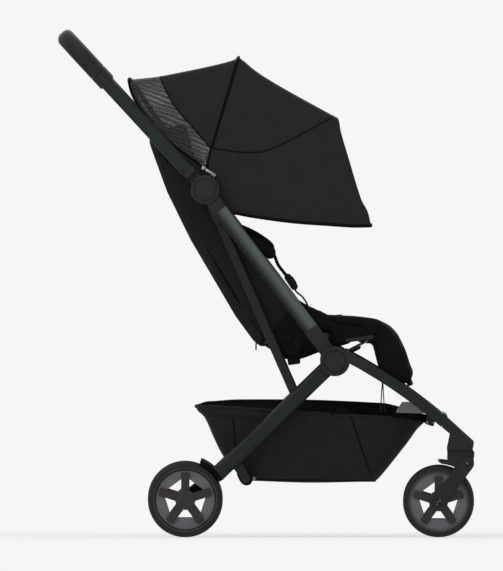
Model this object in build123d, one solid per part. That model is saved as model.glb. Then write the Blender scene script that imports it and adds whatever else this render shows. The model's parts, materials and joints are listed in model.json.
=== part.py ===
from build123d import *
import os
from math import atan2, cos, degrees, hypot, radians, sin

# A compact folding baby stroller: X forward, Y across, Z up, in millimetres.
# Side-view points are (X, Z). A piece's place across the stroller is its distance
# from the middle plane; right-hand pieces are made first and mirrored to the left.

# Frame geometry in the side view
LOWER_HUB = (142.5, 366.0)
UPPER_HUB = (-127.3, 723.0)
REAR_AXLE = (-168.7, 78.0)
FRONT_AXLE = (358.0, 74.0)
REAR_LEG_ANGLE = 224.0
HANDLE_ANGLE = 132.7
LEG_HEAD = (159.8, 380.8)
LEG_FOOT = (370.0, 238.3)
LEG_ARC_RADIUS = 1068.4
LEG_PLASTIC_SHARE = 0.278
LINK_LEG_DISTANCE = 110.8
LINK_CRANK = 66.0
LINK_CRANK_ANGLE = -66.35

# Widths across the stroller, from the seat outwards
SEAT_HALF_WIDTH = 148.0
SEAT_SIDE_GAP = 10.0
LINK_DEPTH = 10.0
LINK_GAP = 4.0
TUBE_DEPTH = 16.0
CRANK_DEPTH = 8.0
LEAF_GAP = 2.0
FRONT_LEG_DEPTH = 14.0

# Tubes, pins and fits
WALL = 1.6
PLUG_DEPTH = 22.0
PLUG_GAP = 0.1
RUNNING_GAP = 0.05
FIXED_GAP = 0.02
PIN_END = 1.0
REAR_LEG_WIDTH = 31.0
UPRIGHT_WIDTH = 31.0
HANDLE_WIDTH = 28.0
FRONT_LEG_WIDTH = 22.0
LINK_WIDTH = 19.0
HUB_LEAF_RADIUS = 26.0
HUB_PIN_RADIUS = 6.0
AXLE_RADIUS = 5.0
RIVET_RADIUS = 4.0

# Layers that follow from the widths, each as two distances from the middle plane
link_inside = SEAT_HALF_WIDTH + SEAT_SIDE_GAP
link_layer = (link_inside, link_inside + LINK_DEPTH)
rear_leg_inside = link_layer[1] + LINK_GAP
rear_leg_layer = (rear_leg_inside, rear_leg_inside + TUBE_DEPTH)
crank_layer = (rear_leg_layer[1] - CRANK_DEPTH, rear_leg_layer[1])
upright_inside = rear_leg_layer[1] + LEAF_GAP
upright_layer = (upright_inside, upright_inside + TUBE_DEPTH)
front_leg_inside = upright_layer[1] + LEAF_GAP
front_leg_layer = (front_leg_inside, front_leg_inside + FRONT_LEG_DEPTH)


def polar(origin, angle, distance):
    """The side-view point at a distance from another, its direction in degrees from forward."""
    return (
        origin[0] + distance * cos(radians(angle)),
        origin[1] + distance * sin(radians(angle)),
    )


def spacing(start, end):
    return hypot(end[0] - start[0], end[1] - start[1])


def heading(start, end):
    """The direction from one side-view point to another, in degrees from forward."""
    return degrees(atan2(end[1] - start[1], end[0] - start[0]))


def towards(start, end, distance):
    """The side-view point at a distance from one point on the way to another."""
    return polar(start, heading(start, end), distance)


def halfway(start, end):
    return ((start[0] + end[0]) / 2, (start[1] + end[1]) / 2)


def around(origin, steps):
    """The side-view points that lie the given steps away from another."""
    return [(origin[0] + step[0], origin[1] + step[1]) for step in steps]


def outline(points):
    return make_face(Polyline(*points, close=True))


def disc(centre, radius):
    return Pos(*centre) * Circle(radius)


def along(start, end, shape):
    """A side-view shape, drawn about its middle along X, laid on the line between two points."""
    return Pos(*halfway(start, end)) * Rot(Z=heading(start, end)) * shape


def strip(start, end, width):
    return along(start, end, Rectangle(spacing(start, end), width))


def capsule(start, end, width):
    return along(start, end, SlotCenterToCenter(spacing(start, end), width))


def ring_sector(centre, inner, outer, start, end):
    """A side-view piece of a ring between two radii and two directions in degrees."""
    middle = (start + end) / 2
    far = ThreePointArc(polar(centre, start, outer), polar(centre, middle, outer), polar(centre, end, outer))
    near = ThreePointArc(polar(centre, end, inner), polar(centre, middle, inner), polar(centre, start, inner))
    return make_face([far, Line(far @ 1, near @ 0), near, Line(near @ 1, far @ 0)])


def plate(sketch, layer):
    """A side-view outline made solid between two distances from the middle plane, on the right."""
    return extrude(Plane.XZ.offset(layer[0]) * sketch, layer[1] - layer[0])


def across(sketch, half_width):
    """A side-view outline made solid across the middle plane."""
    return extrude(Plane.XZ.offset(-half_width) * sketch, 2 * half_width)


def tube_section(width, depth, inset):
    return RectangleRounded(width - 2 * inset, depth - 2 * inset, 0.38 * depth - inset)


def straight_run(start, end, layer, section):
    """A section extruded from one side-view point to another, in the middle of a layer."""
    turn = radians(heading(start, end))
    run = Plane(
        origin=(start[0], -(layer[0] + layer[1]) / 2, start[1]),
        x_dir=(-sin(turn), 0, cos(turn)),
        z_dir=(cos(turn), 0, sin(turn)),
    )
    return extrude(run * section, spacing(start, end))


def flat_tube(start, end, width, layer):
    depth = layer[1] - layer[0]
    return straight_run(start, end, layer, tube_section(width, depth, 0) - tube_section(width, depth, WALL))


def plug(start, end, width, layer):
    """The end of a fitting that fills a flat tube."""
    return straight_run(start, end, layer, tube_section(width, layer[1] - layer[0], WALL + PLUG_GAP))


def flat_bar(start, end, width, layer):
    return straight_run(start, end, layer, tube_section(width, layer[1] - layer[0], 0))


def both(piece):
    return [piece, mirror(piece, about=Plane.XZ)]


def save(name, *pieces):
    solids = [solid for piece in pieces for solid in piece.solids()]
    export_step(Compound(solids), f"parts/{name}.step")


os.makedirs("parts", exist_ok=True)

# Rear legs: flat tubes, the sleeves that take them to the lower hubs, and a bow across them
REAR_SLEEVE_REACH = 53.0
REAR_TUBE_REACH = 322.0
REAR_CAP_LENGTH = 18.0
rear_sleeve_end = polar(LOWER_HUB, REAR_LEG_ANGLE, REAR_SLEEVE_REACH)
rear_tube_end = polar(LOWER_HUB, REAR_LEG_ANGLE, REAR_TUBE_REACH)
rear_cap_end = polar(LOWER_HUB, REAR_LEG_ANGLE, REAR_TUBE_REACH + REAR_CAP_LENGTH)
link_foot = polar(LOWER_HUB, REAR_LEG_ANGLE, LINK_LEG_DISTANCE)

rear_tube = flat_tube(rear_sleeve_end, rear_tube_end, REAR_LEG_WIDTH, rear_leg_layer)
rear_tube -= plate(disc(link_foot, RIVET_RADIUS + FIXED_GAP), rear_leg_layer)
save("rear_leg_tubes", *both(rear_tube))

rear_sleeve = plate(disc(LOWER_HUB, HUB_LEAF_RADIUS), rear_leg_layer)
rear_sleeve += flat_bar(LOWER_HUB, rear_sleeve_end, REAR_LEG_WIDTH, rear_leg_layer)
rear_sleeve_tip = towards(rear_sleeve_end, rear_tube_end, PLUG_DEPTH)
rear_sleeve += plug(rear_sleeve_end, rear_sleeve_tip, REAR_LEG_WIDTH, rear_leg_layer)
rear_sleeve -= plate(disc(LOWER_HUB, HUB_PIN_RADIUS + FIXED_GAP), rear_leg_layer)
save("rear_leg_sleeves", *both(rear_sleeve))

LEG_BOW_REACH = 291.0
LEG_BOW_ANGLE = -61.0
LEG_BOW_LENGTH = 49.0
LEG_BOW_RADIUS = 7.5
LEG_BOW_ARM_WIDTH = 18.0
LEG_BOW_ARM_DEPTH = 12.0
leg_bow_top = polar(LOWER_HUB, REAR_LEG_ANGLE, LEG_BOW_REACH)
leg_bow_foot = polar(leg_bow_top, LEG_BOW_ANGLE, LEG_BOW_LENGTH)
leg_bow_half = rear_leg_layer[0] - LEG_BOW_ARM_DEPTH
leg_bow = across(disc(leg_bow_foot, LEG_BOW_RADIUS), leg_bow_half)
leg_bow_arm = capsule(leg_bow_top, leg_bow_foot, LEG_BOW_ARM_WIDTH)
for arm in both(plate(leg_bow_arm, (leg_bow_half, rear_leg_layer[0]))):
    leg_bow += arm
save("rear_bow", leg_bow)

# Rear wheel brackets: a cap in the leg's end, an arm to the axle and a guard over the tyre
REAR_WHEEL_RADIUS = 78.0
REAR_WHEEL_WIDTH = 28.0
REAR_WHEEL_GAP = 4.0
GUARD_GAP = 1.5
GUARD_THICKNESS = 11.0
GUARD_START = 28.0
GUARD_END = 68.0
GUARD_HALF = 11.0
GUARD_INSET = 2.0
BRACKET_DEPTH = 12.0
BRACKET_WIDTH = 26.0
BRACKET_SETBACK = 4.0
BRAKE_STEP = (43.7, 35.0)
rear_wheel_middle = rear_leg_layer[1] + REAR_WHEEL_GAP + REAR_WHEEL_WIDTH / 2
bracket_layer = (rear_leg_layer[1] - BRACKET_DEPTH, rear_leg_layer[1])
brake_pivot = around(REAR_AXLE, [BRAKE_STEP])[0]
guard_inside = REAR_WHEEL_RADIUS + GUARD_GAP
guard = ring_sector(REAR_AXLE, guard_inside, guard_inside + GUARD_THICKNESS, GUARD_START, GUARD_END)
bracket = flat_bar(rear_tube_end, rear_cap_end, REAR_LEG_WIDTH, rear_leg_layer)
bracket_tip = towards(rear_tube_end, rear_sleeve_end, PLUG_DEPTH)
bracket += plug(bracket_tip, rear_tube_end, REAR_LEG_WIDTH, rear_leg_layer)
bracket_head = towards(rear_cap_end, rear_tube_end, BRACKET_SETBACK)
bracket += plate(capsule(bracket_head, REAR_AXLE, BRACKET_WIDTH), bracket_layer)
bracket += plate(guard, (rear_leg_layer[0] + GUARD_INSET, rear_wheel_middle + GUARD_HALF))
bracket -= plate(disc(REAR_AXLE, AXLE_RADIUS + FIXED_GAP), bracket_layer)
left_bracket = mirror(bracket, about=Plane.XZ)
left_bracket -= across(disc(brake_pivot, RIVET_RADIUS + FIXED_GAP), bracket_layer[1] + PIN_END)
save("rear_wheel_brackets", bracket, left_bracket)

REAR_AXLE_REACH = 9.0
rear_axle_layer = (bracket_layer[0] - PIN_END, rear_wheel_middle + REAR_AXLE_REACH)
save("rear_axles", *both(plate(disc(REAR_AXLE, AXLE_RADIUS), rear_axle_layer)))

# Parking brake pedal on the inner side of the left rear wheel
PEDAL_BOSS_RADIUS = 10.0
PEDAL_WIDTH = 9.0
PEDAL_DEPTH = 22.0
PEDAL_OVERLAP = 2.0
PEDAL_TREAD = 46.0
PEDAL_STEPS = [(-55.0, 15.0), (-39.0, 11.0), (-61.0, 17.0)]
pedal_end, tread_start, tread_end = around(brake_pivot, PEDAL_STEPS)
pedal_outside = rear_leg_layer[0] + PEDAL_OVERLAP
pedal_layer = (pedal_outside - PEDAL_DEPTH, pedal_outside)
pedal_side = disc(brake_pivot, PEDAL_BOSS_RADIUS) + capsule(brake_pivot, pedal_end, PEDAL_WIDTH)
pedal = plate(pedal_side, pedal_layer)
pedal += plate(capsule(tread_start, tread_end, PEDAL_WIDTH), (pedal_outside - PEDAL_TREAD, pedal_outside))
pedal -= plate(disc(brake_pivot, RIVET_RADIUS + RUNNING_GAP), pedal_layer)
save("brake_pedal", mirror(pedal, about=Plane.XZ))
brake_pin = plate(disc(brake_pivot, RIVET_RADIUS), (pedal_layer[0] - 2 * PIN_END, bracket_layer[1]))
save("brake_pin", mirror(brake_pin, about=Plane.XZ))

# Wheels: a foam tyre with a crown, a dished rim with a five-sided window and a star hub, capped at the rear
TYRE_SEAT = 67.0 / REAR_WHEEL_RADIUS
TYRE_BEAD = 3.0 / REAR_WHEEL_RADIUS
TYRE_CROWN = 3.0
RIM_FLANGE = 2.5 / REAR_WHEEL_RADIUS
RIM_DISH = 61.0 / REAR_WHEEL_RADIUS
RIM_WINDOW = 39.5 / REAR_WHEEL_RADIUS
STAR_BOSS = 21.0 / REAR_WHEEL_RADIUS
STAR_REACH = 57.0 / REAR_WHEEL_RADIUS
STAR_SPOKE = 17.5 / REAR_WHEEL_RADIUS
STAR_CORNER = 4.0 / REAR_WHEEL_RADIUS
SPOKES = 5


def wheel(axle, radius, middle, width, bore_end):
    half = width / 2
    seat = TYRE_SEAT * radius
    bead = seat + TYRE_BEAD * radius
    shoulder = radius - TYRE_CROWN
    tread = 0.72 * half
    crown = ThreePointArc((shoulder, tread), (radius, 0), (shoulder, -tread))
    walls = Polyline(
        (shoulder, -tread), (bead, -half), (seat, -half), (seat, half), (bead, half), (shoulder, tread)
    )
    tyre = Pos(axle[0], -middle, axle[1]) * revolve(make_face([crown, walls]), Axis.Y)

    web = (middle - 0.5 * half, middle + 0.2 * half)
    spoke_layer = (web[1], web[1] + 0.45 * half)
    flange = 0.85 * half
    lip = seat - RIM_FLANGE * radius
    dish = RIM_DISH * radius
    inner_face = [(0, 0.5 * half), (dish, 0.5 * half), (lip, flange), (seat, flange)]
    outer_face = [(seat, -flange), (lip, -flange), (dish, -0.2 * half), (0, -0.2 * half)]
    rim = Pos(axle[0], -middle, axle[1]) * revolve(outline(inner_face + outer_face), Axis.Y)
    window = RegularPolygon(RIM_WINDOW * radius, SPOKES, major_radius=False, rotation=90)
    rim -= plate(Pos(*axle) * window, web)

    boss = disc(axle, STAR_BOSS * radius)
    spokes = boss
    spoke = RectangleRounded(STAR_REACH * radius, STAR_SPOKE * radius, STAR_CORNER * radius)
    for number in range(SPOKES):
        spoke_end = polar(axle, 90 + 360 * number / SPOKES, STAR_REACH * radius)
        spokes += along(axle, spoke_end, spoke)
    star = plate(spokes, spoke_layer)
    star += plate(boss, (middle - half, middle + 0.9 * half))
    star -= plate(disc(axle, AXLE_RADIUS + RUNNING_GAP), (middle - half, bore_end))
    return {"tyre": tyre, "rim": rim, "hub": star}


def save_wheels(name, pieces):
    for kind, piece in pieces.items():
        right, left = both(piece)
        save(f"{name}_{kind}_right", right)
        save(f"{name}_{kind}_left", left)


rear_bore_end = rear_axle_layer[1] + RUNNING_GAP
rear_wheel = wheel(REAR_AXLE, REAR_WHEEL_RADIUS, rear_wheel_middle, REAR_WHEEL_WIDTH, rear_bore_end)
save_wheels("rear_wheel", rear_wheel)

# Front legs: gently arched flat tubes, with round knuckles as the outermost leaf of the lower hubs
KNUCKLE_RADIUS = 31.0
KNUCKLE_EDGE_RADIUS = 3.5
HUB_GROOVE_WIDTH = 2.5
HUB_GROOVE_DEPTH = 1.5
KNUCKLE_CAP_RADIUS = 21.0
KNUCKLE_CAP_HEIGHT = 2.5
leg_middle = halfway(LEG_HEAD, LEG_FOOT)
leg_rise = (LEG_ARC_RADIUS**2 - (spacing(LEG_HEAD, LEG_FOOT) / 2) ** 2) ** 0.5
leg_centre = polar(leg_middle, heading(LEG_HEAD, LEG_FOOT) - 90, leg_rise)
leg_head_angle = heading(leg_centre, LEG_HEAD)
leg_foot_angle = heading(leg_centre, LEG_FOOT)
leg_top_angle = leg_head_angle + LEG_PLASTIC_SHARE * (leg_foot_angle - leg_head_angle)
plug_sweep = degrees(PLUG_DEPTH / LEG_ARC_RADIUS)


def leg_core(start, end, inset):
    """A stretch of the front leg between two directions, drawn in all round by an inset."""
    half = FRONT_LEG_WIDTH / 2 - inset
    side = ring_sector(leg_centre, LEG_ARC_RADIUS - half, LEG_ARC_RADIUS + half, start, end)
    return plate(side, (front_leg_layer[0] + inset, front_leg_layer[1] - inset))


front_tube = leg_core(leg_top_angle, leg_foot_angle, 0) - leg_core(leg_top_angle, leg_foot_angle, WALL)
save("front_leg_tubes", *both(front_tube))



def hub_groove(centre, radius, face):
    """The ring-shaped groove round a hub's cap, as the solid to take away."""
    ring = disc(centre, radius + HUB_GROOVE_WIDTH) - disc(centre, radius)
    return plate(ring, (face - HUB_GROOVE_DEPTH, face))


knuckle = plate(disc(LOWER_HUB, KNUCKLE_RADIUS), front_leg_layer)
knuckle = fillet(knuckle.edges().group_by(Axis.Y)[0], KNUCKLE_EDGE_RADIUS)
knuckle_cap_layer = (front_leg_layer[1], front_leg_layer[1] + KNUCKLE_CAP_HEIGHT)
knuckle += plate(disc(LOWER_HUB, KNUCKLE_CAP_RADIUS), knuckle_cap_layer)
knuckle += leg_core(leg_head_angle, leg_top_angle, 0)
knuckle += leg_core(leg_top_angle, leg_top_angle - plug_sweep, WALL + PLUG_GAP)
knuckle -= hub_groove(LOWER_HUB, KNUCKLE_CAP_RADIUS, front_leg_layer[1])
knuckle -= plate(disc(LOWER_HUB, HUB_PIN_RADIUS + RUNNING_GAP), front_leg_layer)
save("front_leg_knuckles", *both(knuckle))

# Lower hub pins and the rivets at the feet of the fold links, fixed to the rear legs
hub_pin = plate(disc(LOWER_HUB, HUB_PIN_RADIUS), (rear_leg_layer[0] - PIN_END, front_leg_layer[1]))
save("lower_hub_pins", *both(hub_pin))
link_rivet = plate(disc(link_foot, RIVET_RADIUS), (link_layer[0] - PIN_END, rear_leg_layer[1] + PIN_END))
save("link_rivets", *both(link_rivet))

# Front cross tube with the footrest, a folded panel with closed ends wrapped round it
FRONT_BAR_STEP = (-5.0, 7.7)
FRONT_BAR_RADIUS = 8.0
FOOTREST_WRAP = 3.0
FOOTREST_WALL = 4.0
FOOTREST_SIDE = [(-96.0, 13.0), (-83.0, 32.5), (-48.0, 33.5), (-4.0, 10.0)]
FOOTREST_HOLLOW = [(-9.0, 7.5), (-49.0, 29.0), (-80.5, 28.0), (-90.5, 13.0)]
FOOTREST_OVERHANG = 4.0
FOOTREST_WRAP_HALF = 120.0
front_bar = around(LEG_FOOT, [FRONT_BAR_STEP])[0]
housing_layer = (rear_leg_layer[1], front_leg_layer[1])
front_bar_ring = disc(front_bar, FRONT_BAR_RADIUS) - disc(front_bar, FRONT_BAR_RADIUS - WALL)
save("front_cross_tube", across(front_bar_ring, housing_layer[0]))
footrest_half = rear_leg_layer[0] + FOOTREST_OVERHANG
footrest_end = outline(around(front_bar, FOOTREST_SIDE))
footrest = across(outline(around(front_bar, FOOTREST_SIDE + FOOTREST_HOLLOW)), footrest_half)
footrest += across(footrest_end, footrest_half) - across(footrest_end, footrest_half - FOOTREST_WALL)
footrest += across(disc(front_bar, FRONT_BAR_RADIUS + FOOTREST_WRAP), FOOTREST_WRAP_HALF)
footrest -= across(disc(front_bar, FRONT_BAR_RADIUS + FIXED_GAP), footrest_half + PIN_END)
save("footrest", footrest)

# Casters: housings on the leg ends, swivel blocks with a stem, sprung forks
SWIVEL = (402.5, 182.0)
SWIVEL_SET = 2.0
STEM_RADIUS = 8.0
STEM_HEIGHT = 28.0
STEM_ROOT = 5.0
STEM_END_GAP = 2.0
FORK_PIVOT = (417.5, 153.0)
FORK_PIVOT_RADIUS = 8.0
FORK_WIDTH = 29.0
FORK_THICKNESS = 4.5
FORK_GAP = 2.0
FRONT_WHEEL_RADIUS = 74.0
FRONT_WHEEL_WIDTH = 20.0
HOUSING_HEAD_STEPS = [(-1.0, -16.0), (11.0, 1.0)]
HOUSING_STEPS = [(29.5, 14.0), (26.5, 0.0), (-27.5, 0.0), (-20.5, 33.0)]
HOUSING_NOSE_RADIUS = 6.0
HOUSING_EYE = 4.0
BLOCK_STEPS = [(-26.5, -0.4), (25.5, -0.4), (30.5, -10.0), (25.5, -36.0), (-12.5, -36.0), (-26.5, -24.0)]
BLOCK_HALF = 10.0
BLOCK_EDGE_RADIUS = 3.0
FENDER_GAP = 5.0
FENDER_THICKNESS = 6.5
FENDER_START = 63.0
FENDER_END = 84.0
FENDER_TIP = 92.0
FENDER_INSET = 1.0
AXLE_HEAD_RADIUS = 7.0
AXLE_HEAD_HEIGHT = 2.0
SOCKET_RADIUS = 3.4
SOCKET_DEPTH = 1.5
PIVOT_RECESS_RADIUS = 4.8
swivel_middle = (housing_layer[0] + housing_layer[1]) / 2 - SWIVEL_SET
block_layer = (swivel_middle - BLOCK_HALF, swivel_middle + BLOCK_HALF)
inner_fork = (block_layer[0] - FORK_GAP - FORK_THICKNESS, block_layer[0] - FORK_GAP)
outer_fork = (block_layer[1] + FORK_GAP, block_layer[1] + FORK_GAP + FORK_THICKNESS)


def stem(radius, low, high):
    return Pos(SWIVEL[0], -swivel_middle, SWIVEL[1] + low) * extrude(Circle(radius), high - low)


housing_side = outline(around(front_bar, HOUSING_HEAD_STEPS) + around(SWIVEL, HOUSING_STEPS))
housing = plate(housing_side, housing_layer)
housing = fillet(housing.edges().filter_by(Axis.Y).sort_by(Axis.X)[-1:], HOUSING_NOSE_RADIUS)
housing += plate(disc(front_bar, FRONT_BAR_RADIUS + HOUSING_EYE), (housing_layer[0], front_leg_layer[0]))
housing += leg_core(leg_foot_angle + plug_sweep, leg_foot_angle, WALL + PLUG_GAP)
housing -= front_tube
housing -= stem(STEM_RADIUS + RUNNING_GAP, -PIN_END, STEM_HEIGHT + STEM_END_GAP)
save("caster_housings", *both(housing))

block = plate(outline(around(SWIVEL, BLOCK_STEPS)), block_layer)
block = fillet(block.edges().filter_by(Axis.Y), BLOCK_EDGE_RADIUS)
fender_inside = FRONT_WHEEL_RADIUS + FENDER_GAP
fender_outside = fender_inside + FENDER_THICKNESS
fender = ring_sector(FRONT_AXLE, fender_inside, fender_outside, FENDER_START, FENDER_TIP)
lip_start = polar(FRONT_AXLE, FENDER_END, fender_inside - PIN_END)
lip_end = polar(FRONT_AXLE, FENDER_TIP, fender_outside)
fender -= outline([lip_start, lip_end, polar(FRONT_AXLE, FENDER_TIP, fender_inside - PIN_END)])
block += plate(fender, (block_layer[0] + FENDER_INSET, block_layer[1] - FENDER_INSET))
block += stem(STEM_RADIUS, -STEM_ROOT, STEM_HEIGHT)
block -= plate(disc(FORK_PIVOT, FORK_PIVOT_RADIUS + RUNNING_GAP), block_layer)

fork = plate(disc(FORK_PIVOT, FORK_PIVOT_RADIUS), (inner_fork[1], outer_fork[0]))
for layer in (inner_fork, outer_fork):
    fork += plate(capsule(FORK_PIVOT, FRONT_AXLE, FORK_WIDTH), layer)
    fork -= plate(disc(FRONT_AXLE, AXLE_RADIUS + FIXED_GAP), layer)
fork -= plate(disc(FORK_PIVOT, PIVOT_RECESS_RADIUS), (outer_fork[1] - SOCKET_DEPTH, outer_fork[1]))
axle_face = outer_fork[1] + AXLE_HEAD_HEIGHT
socket = Pos(*FRONT_AXLE) * RegularPolygon(SOCKET_RADIUS, 6)
front_axle = plate(disc(FRONT_AXLE, AXLE_RADIUS), (inner_fork[0], outer_fork[1]))
front_axle += plate(disc(FRONT_AXLE, AXLE_HEAD_RADIUS), (outer_fork[1], axle_face))
front_axle -= plate(socket, (axle_face - SOCKET_DEPTH, axle_face))
for name, piece in (("caster_block", block), ("caster_fork", fork), ("front_axle", front_axle)):
    right, left = both(piece)
    save(f"{name}_right", right)
    save(f"{name}_left", left)

front_bore_end = swivel_middle + FRONT_WHEEL_WIDTH / 2
front_wheel = wheel(FRONT_AXLE, FRONT_WHEEL_RADIUS, swivel_middle, FRONT_WHEEL_WIDTH, front_bore_end)
save_wheels("front_wheel", front_wheel)

# Uprights: flat tubes between the lower and upper hubs
UPRIGHT_SLEEVE_REACH = 85.0
HUB_PLASTIC_REACH = 53.0
HUB_RADIUS = 30.0
HUB_FACE_HEIGHT = 6.0
HUB_EDGE_RADIUS = 2.5
HUB_CAP_RADIUS = 21.0
HUB_CAP_HEIGHT = 1.5
upright_low = towards(LOWER_HUB, UPPER_HUB, UPRIGHT_SLEEVE_REACH)
upright_high = towards(UPPER_HUB, LOWER_HUB, HUB_PLASTIC_REACH)
save("upright_tubes", *both(flat_tube(upright_low, upright_high, UPRIGHT_WIDTH, upright_layer)))

upright_sleeve = plate(disc(LOWER_HUB, HUB_LEAF_RADIUS), upright_layer)
upright_sleeve += flat_bar(LOWER_HUB, upright_low, UPRIGHT_WIDTH, upright_layer)
upright_sleeve_tip = towards(upright_low, upright_high, PLUG_DEPTH)
upright_sleeve += plug(upright_low, upright_sleeve_tip, UPRIGHT_WIDTH, upright_layer)
upright_sleeve -= plate(disc(LOWER_HUB, HUB_PIN_RADIUS + RUNNING_GAP), upright_layer)
save("upright_sleeves", *both(upright_sleeve))

hub_face = upright_layer[1] + HUB_FACE_HEIGHT
canopy_hub = plate(disc(UPPER_HUB, HUB_RADIUS), (upright_layer[0], hub_face))
canopy_hub = fillet(canopy_hub.edges().group_by(Axis.Y)[0], HUB_EDGE_RADIUS)
canopy_hub += plate(disc(UPPER_HUB, HUB_CAP_RADIUS), (hub_face, hub_face + HUB_CAP_HEIGHT))
canopy_hub -= hub_groove(UPPER_HUB, HUB_CAP_RADIUS, hub_face)
canopy_hub += flat_bar(UPPER_HUB, upright_high, UPRIGHT_WIDTH, upright_layer)
canopy_hub_tip = towards(upright_high, upright_low, PLUG_DEPTH)
canopy_hub += plug(canopy_hub_tip, upright_high, UPRIGHT_WIDTH, upright_layer)
canopy_hub -= plate(disc(UPPER_HUB, HUB_PIN_RADIUS + FIXED_GAP), upright_layer)
save("canopy_hubs", *both(canopy_hub))

UPPER_PIN_GAP = 1.5
upper_pin_layer = (SEAT_HALF_WIDTH + UPPER_PIN_GAP, upright_layer[1])
save("upper_hub_pins", *both(plate(disc(UPPER_HUB, HUB_PIN_RADIUS), upper_pin_layer)))

SEAT_BAR = (122.0, 418.0)
SEAT_BAR_RADIUS = 8.0
RECLINE_PIVOT = (-1.0, 405.0)
RECLINE_ROD_OVERHANG = 8.0
seat_bar = across(disc(SEAT_BAR, SEAT_BAR_RADIUS), upright_layer[0])
recline_rod = across(disc(RECLINE_PIVOT, RIVET_RADIUS), SEAT_HALF_WIDTH + RECLINE_ROD_OVERHANG)
save("seat_rods", seat_bar, recline_rod)

# Handle: knuckles inside the upper hubs, tubes, collars and a U-shaped handlebar
HANDLE_PLASTIC_REACH = 55.0
HANDLE_TUBE_REACH = 300.0
HANDLE_NECK = 12.0
HANDLE_NECK_INSET = 1.0
COLLAR_LENGTH = 29.0
HANDLE_LEAF_RADIUS = 22.0
CRANK_WIDTH = 20.0
handle_low = polar(UPPER_HUB, HANDLE_ANGLE, HANDLE_PLASTIC_REACH)
handle_high = polar(UPPER_HUB, HANDLE_ANGLE, HANDLE_TUBE_REACH)
collar_end = polar(UPPER_HUB, HANDLE_ANGLE, HANDLE_TUBE_REACH + COLLAR_LENGTH)
link_head = polar(UPPER_HUB, LINK_CRANK_ANGLE, LINK_CRANK)
save("handle_tubes", *both(flat_tube(handle_low, handle_high, HANDLE_WIDTH, upright_layer)))

neck_width = HANDLE_WIDTH - 2 * HANDLE_NECK_INSET
crank = disc(UPPER_HUB, HANDLE_LEAF_RADIUS) + capsule(UPPER_HUB, link_head, CRANK_WIDTH)
handle_knuckle = plate(crank, crank_layer)
handle_knuckle += plate(strip(UPPER_HUB, handle_low, neck_width), crank_layer)
handle_knuckle += plate(
    strip(towards(handle_low, UPPER_HUB, HANDLE_NECK), handle_low, neck_width),
    (crank_layer[0], upright_layer[1] - HANDLE_NECK_INSET),
)
handle_knuckle_tip = towards(handle_low, handle_high, PLUG_DEPTH)
handle_knuckle += plug(handle_low, handle_knuckle_tip, HANDLE_WIDTH, upright_layer)
handle_knuckle -= plate(disc(UPPER_HUB, HUB_PIN_RADIUS + RUNNING_GAP), crank_layer)
save("handle_knuckles", *both(handle_knuckle))

GRIP_GAP = 1.0
GRIP_WIDTH = 35.0
GRIP_DEPTH = 30.0
GRIP_EDGE_RADIUS = 13.0
GRIP_BEND = 62.0
GRIP_LENGTH = 110.0
CORE_RADIUS = 8.0
CORE_ROOT = 14.0
COLLAR_LIP = 3.5
handle_middle = (upright_layer[0] + upright_layer[1]) / 2
collar_layer = (upright_layer[0] - COLLAR_LIP, upright_layer[1] + COLLAR_LIP)
grip_start = HANDLE_TUBE_REACH + COLLAR_LENGTH + GRIP_GAP
bar_reach = grip_start + GRIP_LENGTH - GRIP_DEPTH / 2
core_start = grip_start - CORE_ROOT
handle_turn = radians(HANDLE_ANGLE)
handle_plane = Plane(
    origin=(UPPER_HUB[0], 0, UPPER_HUB[1]),
    x_dir=(cos(handle_turn), 0, sin(handle_turn)),
    z_dir=(sin(handle_turn), 0, -cos(handle_turn)),
)


def handlebar_sweep(section, start):
    path = handle_plane * FilletPolyline(
        (start, -handle_middle),
        (bar_reach, -handle_middle),
        (bar_reach, handle_middle),
        (start, handle_middle),
        radius=GRIP_BEND,
    )
    square = Plane(origin=path @ 0, x_dir=handle_plane.z_dir, z_dir=path % 0)
    return sweep(square * section, path=path)


save("handlebar_core", handlebar_sweep(Circle(CORE_RADIUS), core_start))
core_bore = Circle(CORE_RADIUS + FIXED_GAP)
grip_section = RectangleRounded(GRIP_WIDTH, GRIP_DEPTH, GRIP_EDGE_RADIUS) - core_bore
save("handlebar_grip", handlebar_sweep(grip_section, grip_start))

BUTTON_TRAVEL = 1.5
BUTTON_GAP = 0.35
BUTTON_WIDTH = 14.0
BUTTON_RISE = 2.6
BUTTON_ROOT = 0.9
BUTTON_SETBACK = 8.0
BUTTON_FLOOR = 0.3
button_start = towards(handle_high, collar_end, BUTTON_SETBACK)
button_end = towards(collar_end, handle_high, BUTTON_SETBACK)
button_layer = (collar_layer[1] - BUTTON_ROOT, collar_layer[1] + BUTTON_RISE)
collar = flat_bar(handle_high, collar_end, GRIP_WIDTH, collar_layer)
collar += plug(towards(handle_high, handle_low, PLUG_DEPTH), handle_high, HANDLE_WIDTH, upright_layer)
collar -= straight_run(polar(UPPER_HUB, HANDLE_ANGLE, core_start), collar_end, collar_layer, core_bore)
left_collar = mirror(collar, about=Plane.XZ)
right_collar = collar - plate(
    capsule(button_start, button_end, BUTTON_WIDTH + 2 * BUTTON_GAP),
    (button_layer[0] - BUTTON_TRAVEL - BUTTON_FLOOR, collar_layer[1]),
)
save("handle_collars", right_collar, left_collar)
save("fold_button", plate(capsule(button_start, button_end, BUTTON_WIDTH), button_layer))

# Fold links from the rear legs to the cranks of the handle knuckles
LINK_EDGE_RADIUS = 3.0
LINK_BOSS_RADIUS = 7.0
LINK_BOSS_GAP = 2.0
link = plate(capsule(link_foot, link_head, LINK_WIDTH), link_layer)
link = fillet(link.edges().group_by(Axis.Y)[0] + link.edges().group_by(Axis.Y)[-1], LINK_EDGE_RADIUS)
link += plate(disc(link_head, LINK_BOSS_RADIUS), (link_layer[1], crank_layer[0] - LINK_BOSS_GAP))
link -= plate(disc(link_foot, RIVET_RADIUS + RUNNING_GAP), link_layer)
save("fold_links", *both(link))

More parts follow.
